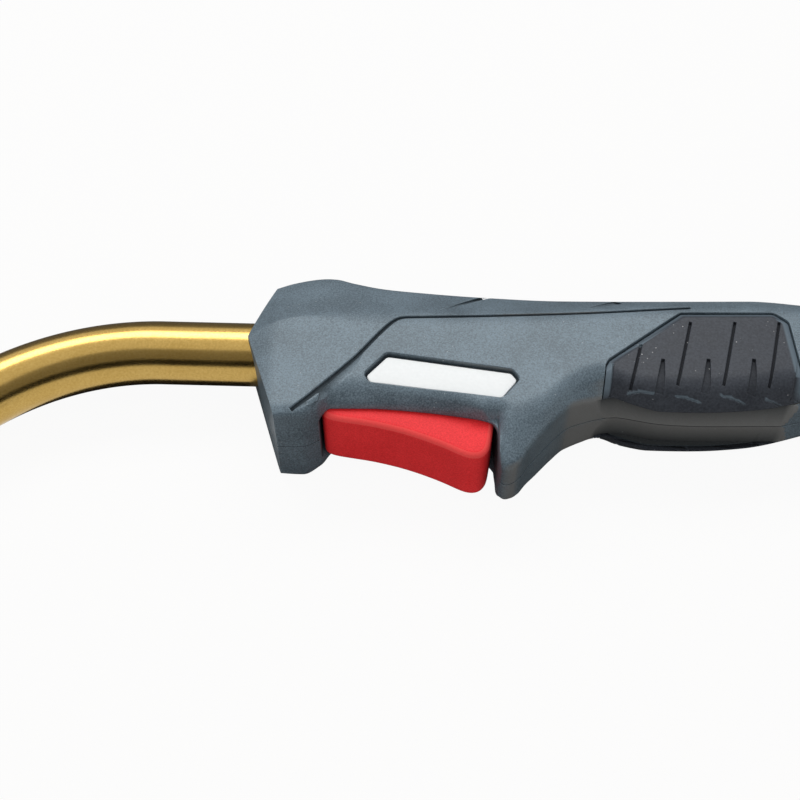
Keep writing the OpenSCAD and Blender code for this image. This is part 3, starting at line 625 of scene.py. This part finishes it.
def handle_half(name, depth=0.0, start=-1, end=TAIL):
    grid = np.array([np.column_stack([np.full(len(s), x), s[:, 1], s[:, 0]])
                     for x in stations(start, end) for s in [half_section(x)]])
    n = outward(grid)
    seam = SEAM_DEPTH * SEAM_BEVEL * np.clip(1 - grid[..., 2] / SEAM_BEVEL, 0, 1)
    t = np.clip((grid[..., 0] - (TAIL - TAIL_ROUND)) / TAIL_ROUND, 0, 1)
    round_end = TAIL_ROUND * (1 - np.sqrt(1 - t ** 2))
    grid[..., 2] = guard_rounded(grid)
    grid = grid - n * (depth + seam + round_end)[..., None]
    grid[..., 0] = np.array(stations(start, end))[:, None]
    grid[..., 2] = np.maximum(grid[..., 2], SEAM)
    ends = [np.array([[grid[row, 0, 0], END_Y, SEAM]] * grid.shape[1]) for row in (0, -1)]
    return solid(name, [ends[0], *grid, ends[1]])


# %% [markdown]
# Everything else is cut into that half. A cutter is a stack of rings, a ribbon that follows a
# line on the side, or a turned form.

# %% Cutters
FAR, BELOW, OVER, CLEAR = 60.0, -2, 0.5, 0.6
TURN_POINTS, CIRCLE_POINTS = 97, 49


def closed(ring):
    return np.vstack([ring, ring[:1]])


def at_height(ring, z):
    return np.column_stack([ring, np.full(len(ring), z)])


def rounded_ring(outline, corner, spread=0.0, steps=8):
    """A convex outline with round corners, spread outwards, as a ring of points. The arcs of
    two neighbouring corners must fit on the edge between them, or the ring folds."""
    pts = np.array(outline, float)
    if sum(a[0] * b[1] - a[1] * b[0] for a, b in zip(pts, np.roll(pts, -1, 0))) < 0:
        pts = pts[::-1]
    ring = []
    for before, here, after in zip(np.roll(pts, 1, 0), pts, np.roll(pts, -1, 0)):
        turns = [math.atan2(a[0] - b[0], b[1] - a[1])
                 for a, b in ((before, here), (here, after))]
        turns[1] += 2 * math.pi * (turns[1] < turns[0])
        n1, n2 = [np.array([math.cos(a), math.sin(a)]) for a in turns]
        centre = here - (n1 + n2) / (1 + n1 @ n2) * corner
        ring += [centre + (corner + spread) * np.array([math.cos(a), math.sin(a)])
                 for a in np.linspace(*turns, steps + 1)]
    return np.array(ring)


def stack(name, outline, corner, levels):
    """A solid between heights, each given as how far the outline is spread and its height."""
    return solid(name, [closed(at_height(rounded_ring(outline, corner, spread), z))
                        for spread, z in levels])


def evenly(points, step):
    pts = np.array(points, float)
    run = np.concatenate([[0], np.cumsum(np.linalg.norm(np.diff(pts, axis=0), axis=1))])
    at = np.linspace(0, run[-1], int(run[-1] / step) + 2)
    return np.column_stack([np.interp(at, run, pts[:, 0]), np.interp(at, run, pts[:, 1])])


def smoothed(points, times=2):
    pts = [np.array(p, float) for p in points]
    for _ in range(times):
        cut = [pts[0]]
        for a, b in zip(pts[:-1], pts[1:]):
            cut += [0.75 * a + 0.25 * b, 0.25 * a + 0.75 * b]
        pts = cut + [pts[-1]]
    return pts


def ribbon(name, points, section, step=1.0, lowest=0.0):
    """A solid along a line on the side. Its section is points across the line and above the
    side, given for each place from 0 to 1."""
    path = evenly(smoothed(points), step)
    along = np.gradient(path, axis=0)
    along /= np.linalg.norm(along, axis=1, keepdims=True)
    left = np.column_stack([-along[:, 1], along[:, 0]])
    rings = []
    for i, t in enumerate(np.linspace(0, 1, len(path))):
        across, above = np.array(section(t), float).T
        xy = path[i] + across[:, None] * left[i]
        z = np.maximum(skin(xy[:, 0], xy[:, 1]), lowest) + above
        rings.append(closed(np.column_stack([xy, z])))
    return solid(name, rings)


def channel(width, depth, edge=0.25):
    """Section of a groove with bevelled edges."""
    half = width / 2
    return [(-half, -depth), (-half, -edge), (-half - edge - OVER, OVER),
            (half + edge + OVER, OVER), (half, -edge), (half, -depth)]


def taper(ends, t):
    return ends[0] + (ends[1] - ends[0]) * t


def turned_form(name, profile, place):
    """A solid turned about the X axis through a place; the profile is (x, radius)."""
    angles = np.linspace(0, 2 * math.pi, TURN_POINTS)
    rings = [np.column_stack([np.full(len(angles), place[0] + x),
                              place[1] + r * np.cos(angles), r * np.sin(angles)])
             for x, r in profile]
    return solid(name, rings)


def upright_form(name, outline, bottom, top):
    """A solid over a side outline, from one height over the parting plane to another."""
    ring = np.array([*outline, outline[0]], float)
    return solid(name, [at_height(ring, z) for z in (bottom, top)])


# %% [markdown]
# The cuts of the moulding: the nose's two leaning planes, the neck's bore, the ball's seat, the
# trigger's slot, the channel along the underside, the groove that sets off the side panel with
# the facet beside it, and two wedge-shaped cuts on the shoulder.

# %% Cuts in both halves
NOSE, NOSE_TOP = (0.4, -3.0), 30
LEAN_UP, LEAN_DOWN = math.radians(18.4), math.radians(17.2)
NECK_BORE, NECK_DEPTH = 10.7, 14.0
BALL_CENTRE, BALL_SEAT, BALL_MOUTH, MOUTH_START = (178.0, -6.0), 15.3, 14.46, -18
SLOT_BOX = [(24.4, -2), (24.4, 11.2), (79.4, 11.2), (79.4, -2)]
SLOT_CEILING, SLOT_CORNER = -21.0, 2.2
STRIP_HALF, STRIP_LEAN = 10.1, 0.12
STRIP_LINE = [(109, -29.3), (113.5, -26.9), (117.5, -26.1), (120.5, -26.5), (124, -27.3),
              (128.5, -28.4), (133.5, -29.2), (144, -29.8), (161, -29.7), (171, -29.7),
              (179, -30.1)]
GROOVE = [(16.3, -35.9), (20.2, -32.5), (25, -27.2), (31.8, -19.9),
          (37.1, -13.8), (42.4, -6.2), (47.9, 0.4), (50.4, 1.7), (56, 1.8), (77, 2.4),
          (90, 2.9), (109, 3.7), (121.5, 4.4), (143.8, 6.0)]
GROOVE_FACET = [*GROOVE[:4], (38, -12.6)]
FACET_WIDTH, GROOVE_WIDTH, GROOVE_DEPTH, GROOVE_EDGE = 3.2, 1.15, 1.1, 0.3
WEDGES = [([(63, 6), (72, 12), (83, 19.5)], (0.9, 2.6), (0.1, 1.6)),
          ([(111.4, 7.7), (116.5, 10), (122, 12.8)], (0.9, 3.6), (0.2, 0.75))]
FINE_EDGE, SIDE_LOWEST, SHOULDER_LOWEST = 0.15, 15.0, 8.0
RECESS = [(38.2, -22), (45.2, -13.6), (84.4, -20.5), (86.6, -24), (81, -31.5), (39.6, -25.1)]
RECESS_CORNER, RECESS_FLOOR, RECESS_BEVEL = 2.2, 15.5, (0.35, 0.85)


def nose_x(y):
    lean = math.tan(LEAN_UP) if y > NOSE[1] else -math.tan(LEAN_DOWN)
    return NOSE[0] + (y - NOSE[1]) * lean


def nose_cutter():
    return upright_form("nose_cutter", [(nose_x(FAR), FAR), (-FAR, FAR), (-FAR, -FAR),
                                        (nose_x(-FAR), -FAR), NOSE], BELOW, NOSE_TOP)


def slot_cutter():
    ring = closed(rounded_ring(SLOT_BOX, SLOT_CORNER))
    return solid("slot_cutter", [np.column_stack([ring[:, 0], np.full(len(ring), y), ring[:, 1]])
                                 for y in (-FAR, SLOT_CEILING)])


def strip_cutter():
    line_points = smoothed(STRIP_LINE)
    outline = [*line_points, (line_points[-1][0], -FAR), (line_points[0][0], -FAR)]
    cutter = upright_form("strip_cutter", outline, BELOW, STRIP_HALF)
    for vertex in cutter.data.vertices:
        vertex.co.y += STRIP_LEAN * (vertex.co.z - BENCH[2] / 1000)
    return cutter


def facet_section(t):
    """A slanting facet beside the groove, widest in the middle and running out at its ends."""
    wide = FACET_WIDTH * math.sin(math.pi * t) ** 0.7 + 0.2
    return [(0, -0.8 * GROOVE_DEPTH), (0, CLEAR), (-1.5 * wide - 0.3, CLEAR), (-wide, 0.02)]


def wedge_cutter(number):
    points, widths, depths = WEDGES[number]
    return ribbon(f"wedge_cutter_{number}", points,
                  lambda t: channel(taper(widths, t), taper(depths, t), FINE_EDGE),
                  lowest=SHOULDER_LOWEST)


def common_cutters():
    seat = [(BALL_SEAT * math.cos(a), BALL_SEAT * math.sin(a))
            for a in np.linspace(math.pi, 0, CIRCLE_POINTS)]
    return [
        nose_cutter(),
        turned_form("neck_bore", [(-FAR, NECK_BORE), (NECK_DEPTH, NECK_BORE)], (0, 0)),
        turned_form("ball_seat", seat, BALL_CENTRE),
        turned_form("ball_mouth", [(MOUTH_START, BALL_MOUTH), (FAR, BALL_MOUTH)], BALL_CENTRE),
        slot_cutter(),
        strip_cutter(),
        ribbon("groove_cutter", GROOVE,
               lambda t: channel(GROOVE_WIDTH, GROOVE_DEPTH, GROOVE_EDGE), lowest=SIDE_LOWEST),
        ribbon("facet_cutter", GROOVE_FACET, facet_section, lowest=SIDE_LOWEST),
        wedge_cutter(0),
        wedge_cutter(1),
    ]


# %% [markdown]
# The pocket for the rubber follows the handle's own form a little below the surface. The
# insert is the layer that fills it, less a gap all round. It has a bevelled rim, and slanted
# finger grooves with a tapered slot and a ledge on each pad. The rim's bevel and the ledges are
# tinted paler as a painted highlight, the ledges partly also from rubbing.

# %% Grip pocket and insert
GRIP = [(110.8, -40), (113.8, -18.8), (115, -16.6), (140.1, 3), (170, 3), (174, -1), (174, -40)]
GRIP_CORNER, GRIP_GAP, GRIP_THICKNESS, GRIP_FLARE = 2.0, 0.35, 1.6, 0.45
GRIP_SPAN = (104, 184)
RIM_WIDTH, RIM_DROP, RIM_CUT = 1.9, 1.0, (0.45, 0.4, 0.1)
PADS, PAD_PITCH, PAD_STEP = 4, 14.2, 0.7
PAD_GROOVE = [(120.7, -26.3), (125.6, -10.2), (128.4, -1.0)]
PAD_GROOVE_WIDTH, PAD_GROOVE_DEPTH = 0.85, 0.9
PAD_SLOT = [(129.2, -28.2), (131.7, -16.4)]
PAD_SLOT_WIDTH, PAD_SLOT_DEPTH = (2.6, 1.0), (0.25, 0.9)
PAD_LEDGE = [(119.9, -26.7), (123.4, -27.1), (127.6, -28.0)]
# The last value is how far from a ledge its pale tint, a painted highlight, reaches.
LEDGE_WIDTH, LEDGE_DEPTH, LATER_LEDGE, LEDGE_WEAR_AND_HIGHLIGHT = 3.6, 0.45, 2.0, 0.25
RIM_LINE = [(115.8, -18.4), (115.2, -24), (113.9, -31.5)]
# Strength and fade of the rim's paler tint: a painted highlight.
RIM_HIGHLIGHT, RIM_HIGHLIGHT_FADE = 0.3, 4


def grip_pocket():
    pocket = stack("grip_pocket", GRIP, GRIP_CORNER,
                   [(GRIP_GAP, STRIP_HALF - GRIP_GAP), (GRIP_GAP, SIDE - 0.3),
                    (GRIP_GAP + GRIP_FLARE, SIDE + OVER)])
    core = handle_half("pocket_core", GRIP_THICKNESS + 0.1, *GRIP_SPAN)
    return without(pocket, core)


def on_pad(points, number, lower=0.0):
    return [(x + PAD_PITCH * number, y - lower) for x, y in points]


def ledge_line(number):
    return on_pad(PAD_LEDGE, number, LATER_LEDGE if number else 0.0)


def ledge_section(t):
    return [(0, -LEDGE_DEPTH * math.sin(math.pi * t) - 0.02), (0.1, CLEAR),
            (-LEDGE_WIDTH, CLEAR), (-LEDGE_WIDTH, 0.05)]


def pad_cutters(number):
    """The first pad's groove is shorter than the others."""
    forms = {
        "groove": (on_pad(PAD_GROOVE[:3 if number else 2], number),
                   lambda t: channel(PAD_GROOVE_WIDTH, PAD_GROOVE_DEPTH, FINE_EDGE)),
        "slot": (on_pad(PAD_SLOT, number),
                 lambda t: channel(taper(PAD_SLOT_WIDTH, t), taper(PAD_SLOT_DEPTH, t),
                                   FINE_EDGE)),
        "ledge": (ledge_line(number), ledge_section),
    }
    return [ribbon(f"pad_{form}_{number}", points, section, step=PAD_STEP)
            for form, (points, section) in forms.items()]


def inside_ring(x, y, ring):
    """True inside a convex ring of points that runs anticlockwise."""
    left = [(q[0] - p[0]) * (y - p[1]) - (q[1] - p[1]) * (x - p[0])
            for p, q in zip(ring, np.roll(ring, -1, 0))]
    return np.min(left, axis=0) > -1e-3


def far_from(x, y, points):
    """Distance of each place to a line of points."""
    path = evenly(points, 0.2)
    return np.min([np.hypot(x - px, y - py) for px, py in path], axis=0)


def mark_insert(mesh):
    """The rim's bevel and the ledges are marked for a paler tint, a painted highlight that on the
    ledges also stands for rubbing, and only the pads inside the rim get painted shade in their
    hollows."""
    x, y, z = (read_points(mesh) * 1000 - BENCH).T
    pads = inside_ring(x, y, rounded_ring(GRIP, GRIP_CORNER, 0.02 - RIM_WIDTH))
    depth = np.clip((skin(x, y) - np.abs(z)) / FULL_SHADE_DEPTH, 0, 1)
    lines = [far_from(x, y, ledge_line(number)) for number in range(PADS)]
    # Ledges get the paler tint: a painted highlight, partly also rubbing.
    worn_lit_ledges = np.min(lines, axis=0) < LEDGE_WEAR_AND_HIGHLIGHT
    outer = np.abs(z) > OUTER_HEIGHT
    mark_points(mesh, "hollow", np.where(pads & outer & ~worn_lit_ledges, depth, 0))
    # The rim's bevel gets a paler tint by height: a painted highlight.
    rim = RIM_HIGHLIGHT * np.clip((np.abs(z) - OUTER_HEIGHT) / RIM_HIGHLIGHT_FADE, 0, 1)
    mark_points(mesh, "rim", np.where(pads & ~worn_lit_ledges, 0, rim))


def make_grip(name, node, lower):
    insert = handle_half(name, 0.0, *GRIP_SPAN)
    frame_form = stack("grip_outline", GRIP, GRIP_CORNER,
                       [(0, STRIP_HALF), (0, SIDE - RIM_DROP), (-RIM_WIDTH, SIDE - 0.05),
                        (-RIM_WIDTH, SIDE + 2)])
    cutters = [handle_half("grip_core", GRIP_THICKNESS, *GRIP_SPAN)]
    for number in range(PADS):
        cutters += pad_cutters(number)
    cutters.append(ribbon("rim_line", RIM_LINE, lambda t: channel(*RIM_CUT), step=PAD_STEP))
    carved(insert, (frame_form, "INTERSECT"), *[(cutter, "DIFFERENCE") for cutter in cutters])
    if lower:
        mirrored(insert.data)
    return finish_piece(insert, "grip_rubber", "handle", node, marks=mark_insert)


# %% [markdown]
# Both halves share the cuts. The upper one has the recess for the nameplate, and the lower one,
# its mirror image, the sunk seats for the screws.

# %% The two shells
SCREW_SEATS = [(17.5, -26, 13), (40, 16.6, 8.5), (89, -34, 12), (106, -14, 14), (158, 9.6, 9)]
COUNTERBORE = 3.0


def mirrored(mesh):
    """Turns an upper piece into its lower twin, across the parting plane."""
    for vertex in mesh.vertices:
        vertex.co.z = 2 * BENCH[2] / 1000 - vertex.co.z
    mesh.flip_normals()


def counterbore(number, seat):
    angles = np.linspace(0, 2 * math.pi, CIRCLE_POINTS)
    ring = np.column_stack([seat[0] + COUNTERBORE * np.cos(angles),
                            seat[1] + COUNTERBORE * np.sin(angles)])
    return solid(f"counterbore_{number}", [at_height(ring, z) for z in (seat[2], 2 * SIDE)])


def make_shell(name, node, lower):
    shell = handle_half(name)
    cutters = common_cutters() + [grip_pocket()]
    if lower:
        cutters += [counterbore(number, seat) for number, seat in enumerate(SCREW_SEATS)]
    else:
        drop, flare = RECESS_BEVEL
        cutters.append(stack("recess_cutter", RECESS, RECESS_CORNER,
                             [(0, RECESS_FLOOR), (0, SIDE - drop), (flare, SIDE + OVER)]))
    without(shell, *cutters)
    if lower:
        mirrored(shell.data)
    return finish_piece(shell, "shell_plastic", "handle", node, marks=mark_shade_and_underlight)


make_shell("upper_shell_surface", "handle_shell_upper", False)
make_shell("lower_shell_surface", "handle_shell_lower", True)
make_grip("upper_grip_surface", "grip_insert_upper", False)
make_grip("lower_grip_surface", "grip_insert_lower", True)

# %% [markdown]
# ## The trigger
# A hooked lever with a hollow for the finger. Its outline is drawn from the side, smoothed,
# given its width, and its long edges are rounded.

# %% Trigger
TRIGGER_FOOT = [(25.3, -31.2), (26, -33), (28.5, -34.3), (34, -35.4), (40, -36.5), (45, -37.8),
                (50, -39.3), (55, -41.2), (60, -43.4), (64, -45.4), (67.5, -47.4), (70, -48.5),
                (72.2, -48.8), (74.2, -48.3), (75.8, -46.8), (76.9, -44.2), (78.2, -36.5)]
TRIGGER_TOP, TRIGGER_HALF, TRIGGER_ROUND = -26.0, 10.7, 2.0
OUTLINE_END, OUTLINE_STEP = 25.5, 0.4
ROUND_ROWS, FLAT_ROWS = 10, 12
# Where the pale tint of the edges starts: partly rubbing, partly a painted highlight.
WEAR_AND_HIGHLIGHT_START = 0.35


def drawn_in(outline, depth):
    """A closed outline moved inwards, square to itself."""
    ahead, behind = np.roll(outline, -1, 0), np.roll(outline, 1, 0)
    along = ahead - behind
    n = np.column_stack([-along[:, 1], along[:, 0]])
    n /= np.linalg.norm(n, axis=1, keepdims=True)
    inwards = outline.mean(0) - outline
    if (n * inwards).sum() < 0:
        n = -n
    return outline + n * depth


def mark_wear_and_highlight(mesh):
    """Marks the rounded long edges, tinted pale partly from rubbing and partly as a painted
    highlight.
    """
    up = np.abs(read_points(mesh, "normal")[:, 2])
    both = 2 * up * np.sqrt(1 - np.minimum(up, 1) ** 2)
    mark_points(mesh, "edge", np.clip(both - WEAR_AND_HIGHLIGHT_START, 0, 1))


def make_trigger():
    foot = smoothed(TRIGGER_FOOT, 3)
    outline = evenly([(foot[0][0], TRIGGER_TOP), *foot, (foot[-1][0], TRIGGER_TOP),
                      (OUTLINE_END, TRIGGER_TOP)], OUTLINE_STEP)
    rows = []
    for a in np.radians(np.linspace(90, 0, ROUND_ROWS)):
        rows.append((drawn_in(outline, TRIGGER_ROUND * (1 - math.cos(a))),
                     TRIGGER_HALF - TRIGGER_ROUND + TRIGGER_ROUND * math.sin(a)))
    flat = np.linspace(TRIGGER_HALF - TRIGGER_ROUND, 0, FLAT_ROWS)[1:]
    rows += [(outline, z) for z in flat]
    rows += [(ring, -z) for ring, z in rows[-2::-1]]
    grid = [closed(at_height(ring, z)) for ring, z in rows]
    return finish_piece(solid("trigger_surface", grid), "trigger_red", "trigger", "trigger",
                        sharp=50, marks=mark_wear_and_highlight)


make_trigger()

# %% [markdown]
# ## The nameplate
# A bare white plate with rounded corners, glued to the floor of its recess.

# %% Nameplate
PLATE_GAP = 0.75
PLATE_LEVELS = [(0, RECESS_FLOOR - 0.1), (0, 15.95), (0.08, 16.06), (0.2, 16.1)]


def make_plate():
    levels = [(-PLATE_GAP - drawn, z) for drawn, z in PLATE_LEVELS]
    return finish_piece(stack("plate_surface", RECESS, RECESS_CORNER, levels), "plate_white",
                        "handle", "nameplate", sharp=40)


make_plate()

# %% [markdown]
# ## Neck and screws
# The neck is a tube that follows a line, and the screws are one form set on five seats. Both
# are grown by Geometry Nodes from a plain mesh of points.

# %% Geometry Nodes helpers
def grown(name, points, edges, tree, **values):
    """Grows a piece on a mesh of points, and returns it as a plain mesh."""
    seed = bpy.data.meshes.new(name)
    seed.from_pydata(to_bench(points).tolist(), edges, [])
    piece = placed(name, seed)
    modifier = piece.modifiers.new("grow", "NODES")
    modifier.node_group = tree
    for item in tree.interface.items_tree:
        if item.in_out == "INPUT" and item.name in values:
            modifier[item.identifier] = values[item.name]
    return applied(piece)


def finish_tree(tree, inside, outside, geometry):
    """Ends a tree with real geometry and its material."""
    realize = add(tree, "GeometryNodeRealizeInstances", {0: geometry})
    coat = add(tree, "GeometryNodeSetMaterial", {"Geometry": realize.outputs[0],
                                                 "Material": inside.outputs["Material"]})
    feed(tree, outside, {"Geometry": coat.outputs[0]})


# %% The neck's tube
NECK_TILT, NECK_STRAIGHT, NECK_BEND, NECK_ANGLE = 1.8, 29.0, 85.0, 50.0
NECK_RADIUS, PAST_BEND = 10.5, 12.0
NECK_POINTS = (24, 61, 7)


def tube_tree():
    tree, inside, outside = new_group("Tube along a line", [
        ("Geometry", "Geometry", None), ("Radius", "Float", 0.01), ("Sides", "Int", 96),
        ("Material", "Material", None),
    ], [("Geometry", "Geometry")], kind="GeometryNodeTree")
    given = inside.outputs
    path = add(tree, "GeometryNodeMeshToCurve", {0: given["Geometry"]})
    ring = add(tree, "GeometryNodeCurvePrimitiveCircle", {"Resolution": given["Sides"],
                                                          "Radius": given["Radius"]})
    sweep = add(tree, "GeometryNodeCurveToMesh", {
        "Curve": path.outputs[0], "Profile Curve": ring.outputs[0], "Fill Caps": True})
    finish_tree(tree, inside, outside, sweep.outputs[0])
    return tree


def neck_line():
    """The neck's axis: straight out of the handle, round the bend, and on into the head."""
    straight, bend, beyond = NECK_POINTS
    points = [(x, 0.0) for x in np.linspace(NECK_DEPTH - 0.1, -NECK_STRAIGHT, straight)]
    for a in np.radians(np.linspace(0, NECK_ANGLE, bend))[1:]:
        points.append((-NECK_STRAIGHT - NECK_BEND * math.sin(a), NECK_BEND * (math.cos(a) - 1)))
    a = math.radians(NECK_ANGLE)
    end = np.array(points[-1])
    points += [tuple(end - s * np.array([math.cos(a), math.sin(a)]))
               for s in np.linspace(0, PAST_BEND, beyond)[1:]]
    tilt = math.radians(-NECK_TILT)
    return [(x * math.cos(tilt) - y * math.sin(tilt), x * math.sin(tilt) + y * math.cos(tilt), 0)
            for x, y in points]


def make_neck():
    points = neck_line()
    edges = [(i, i + 1) for i in range(len(points) - 1)]
    neck = grown("neck_surface", points, edges, tube_tree(), Radius=NECK_RADIUS / 1000,
                 Material=MATERIALS["brass"])
    close_and_orient(neck.data)
    return finish_piece(neck, "brass", "handle", "neck_jacket")


make_neck()

# %% The screws
SCREW_HEAD = (2.7, 1.8)
SCREW_SOCKET = (1.3, 1.0)


def screw_tree():
    tree, inside, outside = new_group("Screws on seats", [
        ("Geometry", "Geometry", None), ("Head Radius", "Float", 0.0027),
        ("Head Height", "Float", 0.0018), ("Socket Radius", "Float", 0.0013),
        ("Socket Depth", "Float", 0.001), ("Material", "Material", None),
    ], [("Geometry", "Geometry")], kind="GeometryNodeTree")
    given = inside.outputs
    head = add(tree, "GeometryNodeMeshCylinder", {
        "Vertices": 48, "Radius": given["Head Radius"], "Depth": given["Head Height"]})
    socket = add(tree, "GeometryNodeMeshCylinder", {
        "Vertices": 6, "Radius": given["Socket Radius"], "Depth": given["Socket Depth"]})
    spot = add(tree, "ShaderNodeCombineXYZ",
               {"Z": calc(tree, "MULTIPLY", given["Head Height"], -0.5)})
    sunk = add(tree, "GeometryNodeTransform", {"Geometry": socket.outputs["Mesh"],
                                               "Translation": spot.outputs[0]})
    hole = add(tree, "GeometryNodeMeshBoolean", {
        "Mesh 1": head.outputs["Mesh"], "Mesh 2": sunk.outputs[0]}, operation="DIFFERENCE")
    screws = add(tree, "GeometryNodeInstanceOnPoints", {"Points": given["Geometry"],
                                                        "Instance": hole.outputs["Mesh"]})
    finish_tree(tree, inside, outside, screws.outputs[0])
    return tree


def make_screws():
    middles = [(x, y, -seat - SCREW_HEAD[1] / 2) for x, y, seat in SCREW_SEATS]
    screws = grown("screw_heads", middles, [], screw_tree(),
                   **{"Head Radius": SCREW_HEAD[0] / 1000, "Head Height": SCREW_HEAD[1] / 1000,
                      "Socket Radius": SCREW_SOCKET[0] / 1000,
                      "Socket Depth": 2 * SCREW_SOCKET[1] / 1000,
                      "Material": MATERIALS["steel"]})
    return finish_piece(screws, "steel", "handle", "handle_screws")


make_screws()

# %% [markdown]
# ## Floor and light
# A pale floor under the torch, a wide soft lamp above and behind, a weaker one in front, and a
# dim world. To the camera and in reflections the floor and the world are white, and the floor
# still takes the torch's shadow. Cards around the torch show only in reflections. They give the
# metal its dark bands, and keep the white surroundings out of the plastic's slanting faces. The
# two dark cards on the floor under the handle and the neck are painted shadow: they stand for the
# torch's shadow on the floor as the reflections see it.

# %% Floor and cards
FLOOR_COLOR, MATT = (0.6, 0.57, 0.54), 0.9
FLOOR_WHITE, FLOOR_HALF, FLOOR_Z = 0.94, 3.0, -0.0002
CARDS = [
    ("black_card", 0.01, (-0.55, 0.06), (-0.5, 0.32), (-0.9, 0.9)),
    ("grey_card", 0.4, (-0.5, 0.33), (-0.28, 0.7), (-0.9, 0.9)),
    ("back_card", 0.12, (0.068, 0.0005), (0.62, 0.24), (-0.9, 0.9)),
    # The last two cards lie on the floor under the torch: painted shadow for the reflections.
    ("handle_shadow_card", 0.22, (-0.09, 0.0001), (0.05, 0.0001), (-0.024, 0.19)),
    ("neck_shadow_card", 0.03, (0.02, 0.0001), (0.055, 0.0001), (-0.2, -0.024)),
]


def show_white(tree, amount, plain, white, end):
    """Ends a tree with its plain shader, and up to an amount of white for the camera, glossy
    and transmission rays."""
    path = add(tree, "ShaderNodeLightPath").outputs
    first = calc(tree, "MAXIMUM", path["Is Camera Ray"], path["Is Glossy Ray"])
    both = calc(tree, "MAXIMUM", first, path["Is Transmission Ray"])
    mix = add(tree, "ShaderNodeMixShader", {0: calc(tree, "MULTIPLY", both, amount),
                                            1: plain.outputs[0], 2: white.outputs[0]})
    feed(tree, tree.nodes[end], {"Surface": mix.outputs[0]})


def flat_sheet(name, corners, material):
    mesh = bpy.data.meshes.new(name)
    mesh.from_pydata(corners, [], [(0, 1, 2, 3)])
    mesh.materials.append(material)
    sheet = placed(name, mesh)
    return sheet


def make_floor():
    material, tree, shader = start_material("pale floor", FLOOR_COLOR, MATT)
    glow = add(tree, "ShaderNodeEmission")
    show_white(tree, FLOOR_WHITE, shader, glow, "Material Output")
    r, z = FLOOR_HALF, FLOOR_Z
    flat_sheet("floor", [(-r, -r, z), (r, -r, z), (r, r, z), (-r, r, z)], material)


def make_card(name, shade, near, far, ends):
    """A card that only reflections show, between two places of (y, height)."""
    material, _, _ = start_material(name, (shade, shade, shade), MATT)
    left, right = ends
    card = flat_sheet(name, [(left, *near), (right, *near), (right, *far), (left, *far)],
                      material)
    card.visible_camera = card.visible_diffuse = card.visible_shadow = False


make_floor()
for card in CARDS:
    make_card(*card)

# %% World and lamps
WHITE, WORLD_WHITE, WORLD_DIM = (1, 1, 1, 1), 0.97, 0.3
LAMP_AIM = Vector((0, 0, 0.02))


def make_world():
    world = bpy.data.worlds.new("studio")
    bpy.context.scene.world = world
    world.use_nodes = True
    tree = world.node_tree
    dim = tree.nodes["Background"]
    feed(tree, dim, {"Color": WHITE, "Strength": WORLD_DIM})
    white = add(tree, "ShaderNodeBackground", {"Color": WHITE, "Strength": WORLD_WHITE})
    show_white(tree, 1.0, dim, white, "World Output")


def soft_lamp(name, place, size, power, mirrored_by_gloss=True):
    data = bpy.data.lights.new(name, "AREA")
    data.shape, data.size, data.size_y, data.energy = "RECTANGLE", size[0], size[1], power
    lamp = placed(name, data)
    lamp.location = place
    lamp.rotation_euler = (LAMP_AIM - Vector(place)).to_track_quat("-Z", "Y").to_euler()
    lamp.visible_glossy = mirrored_by_gloss


make_world()
soft_lamp("overhead", (-0.08, 0.54, 0.78), (1.2, 0.38), 7.0)
soft_lamp("front_fill", (0.0, -0.4, 0.66), (0.8, 0.5), 1.75, mirrored_by_gloss=False)
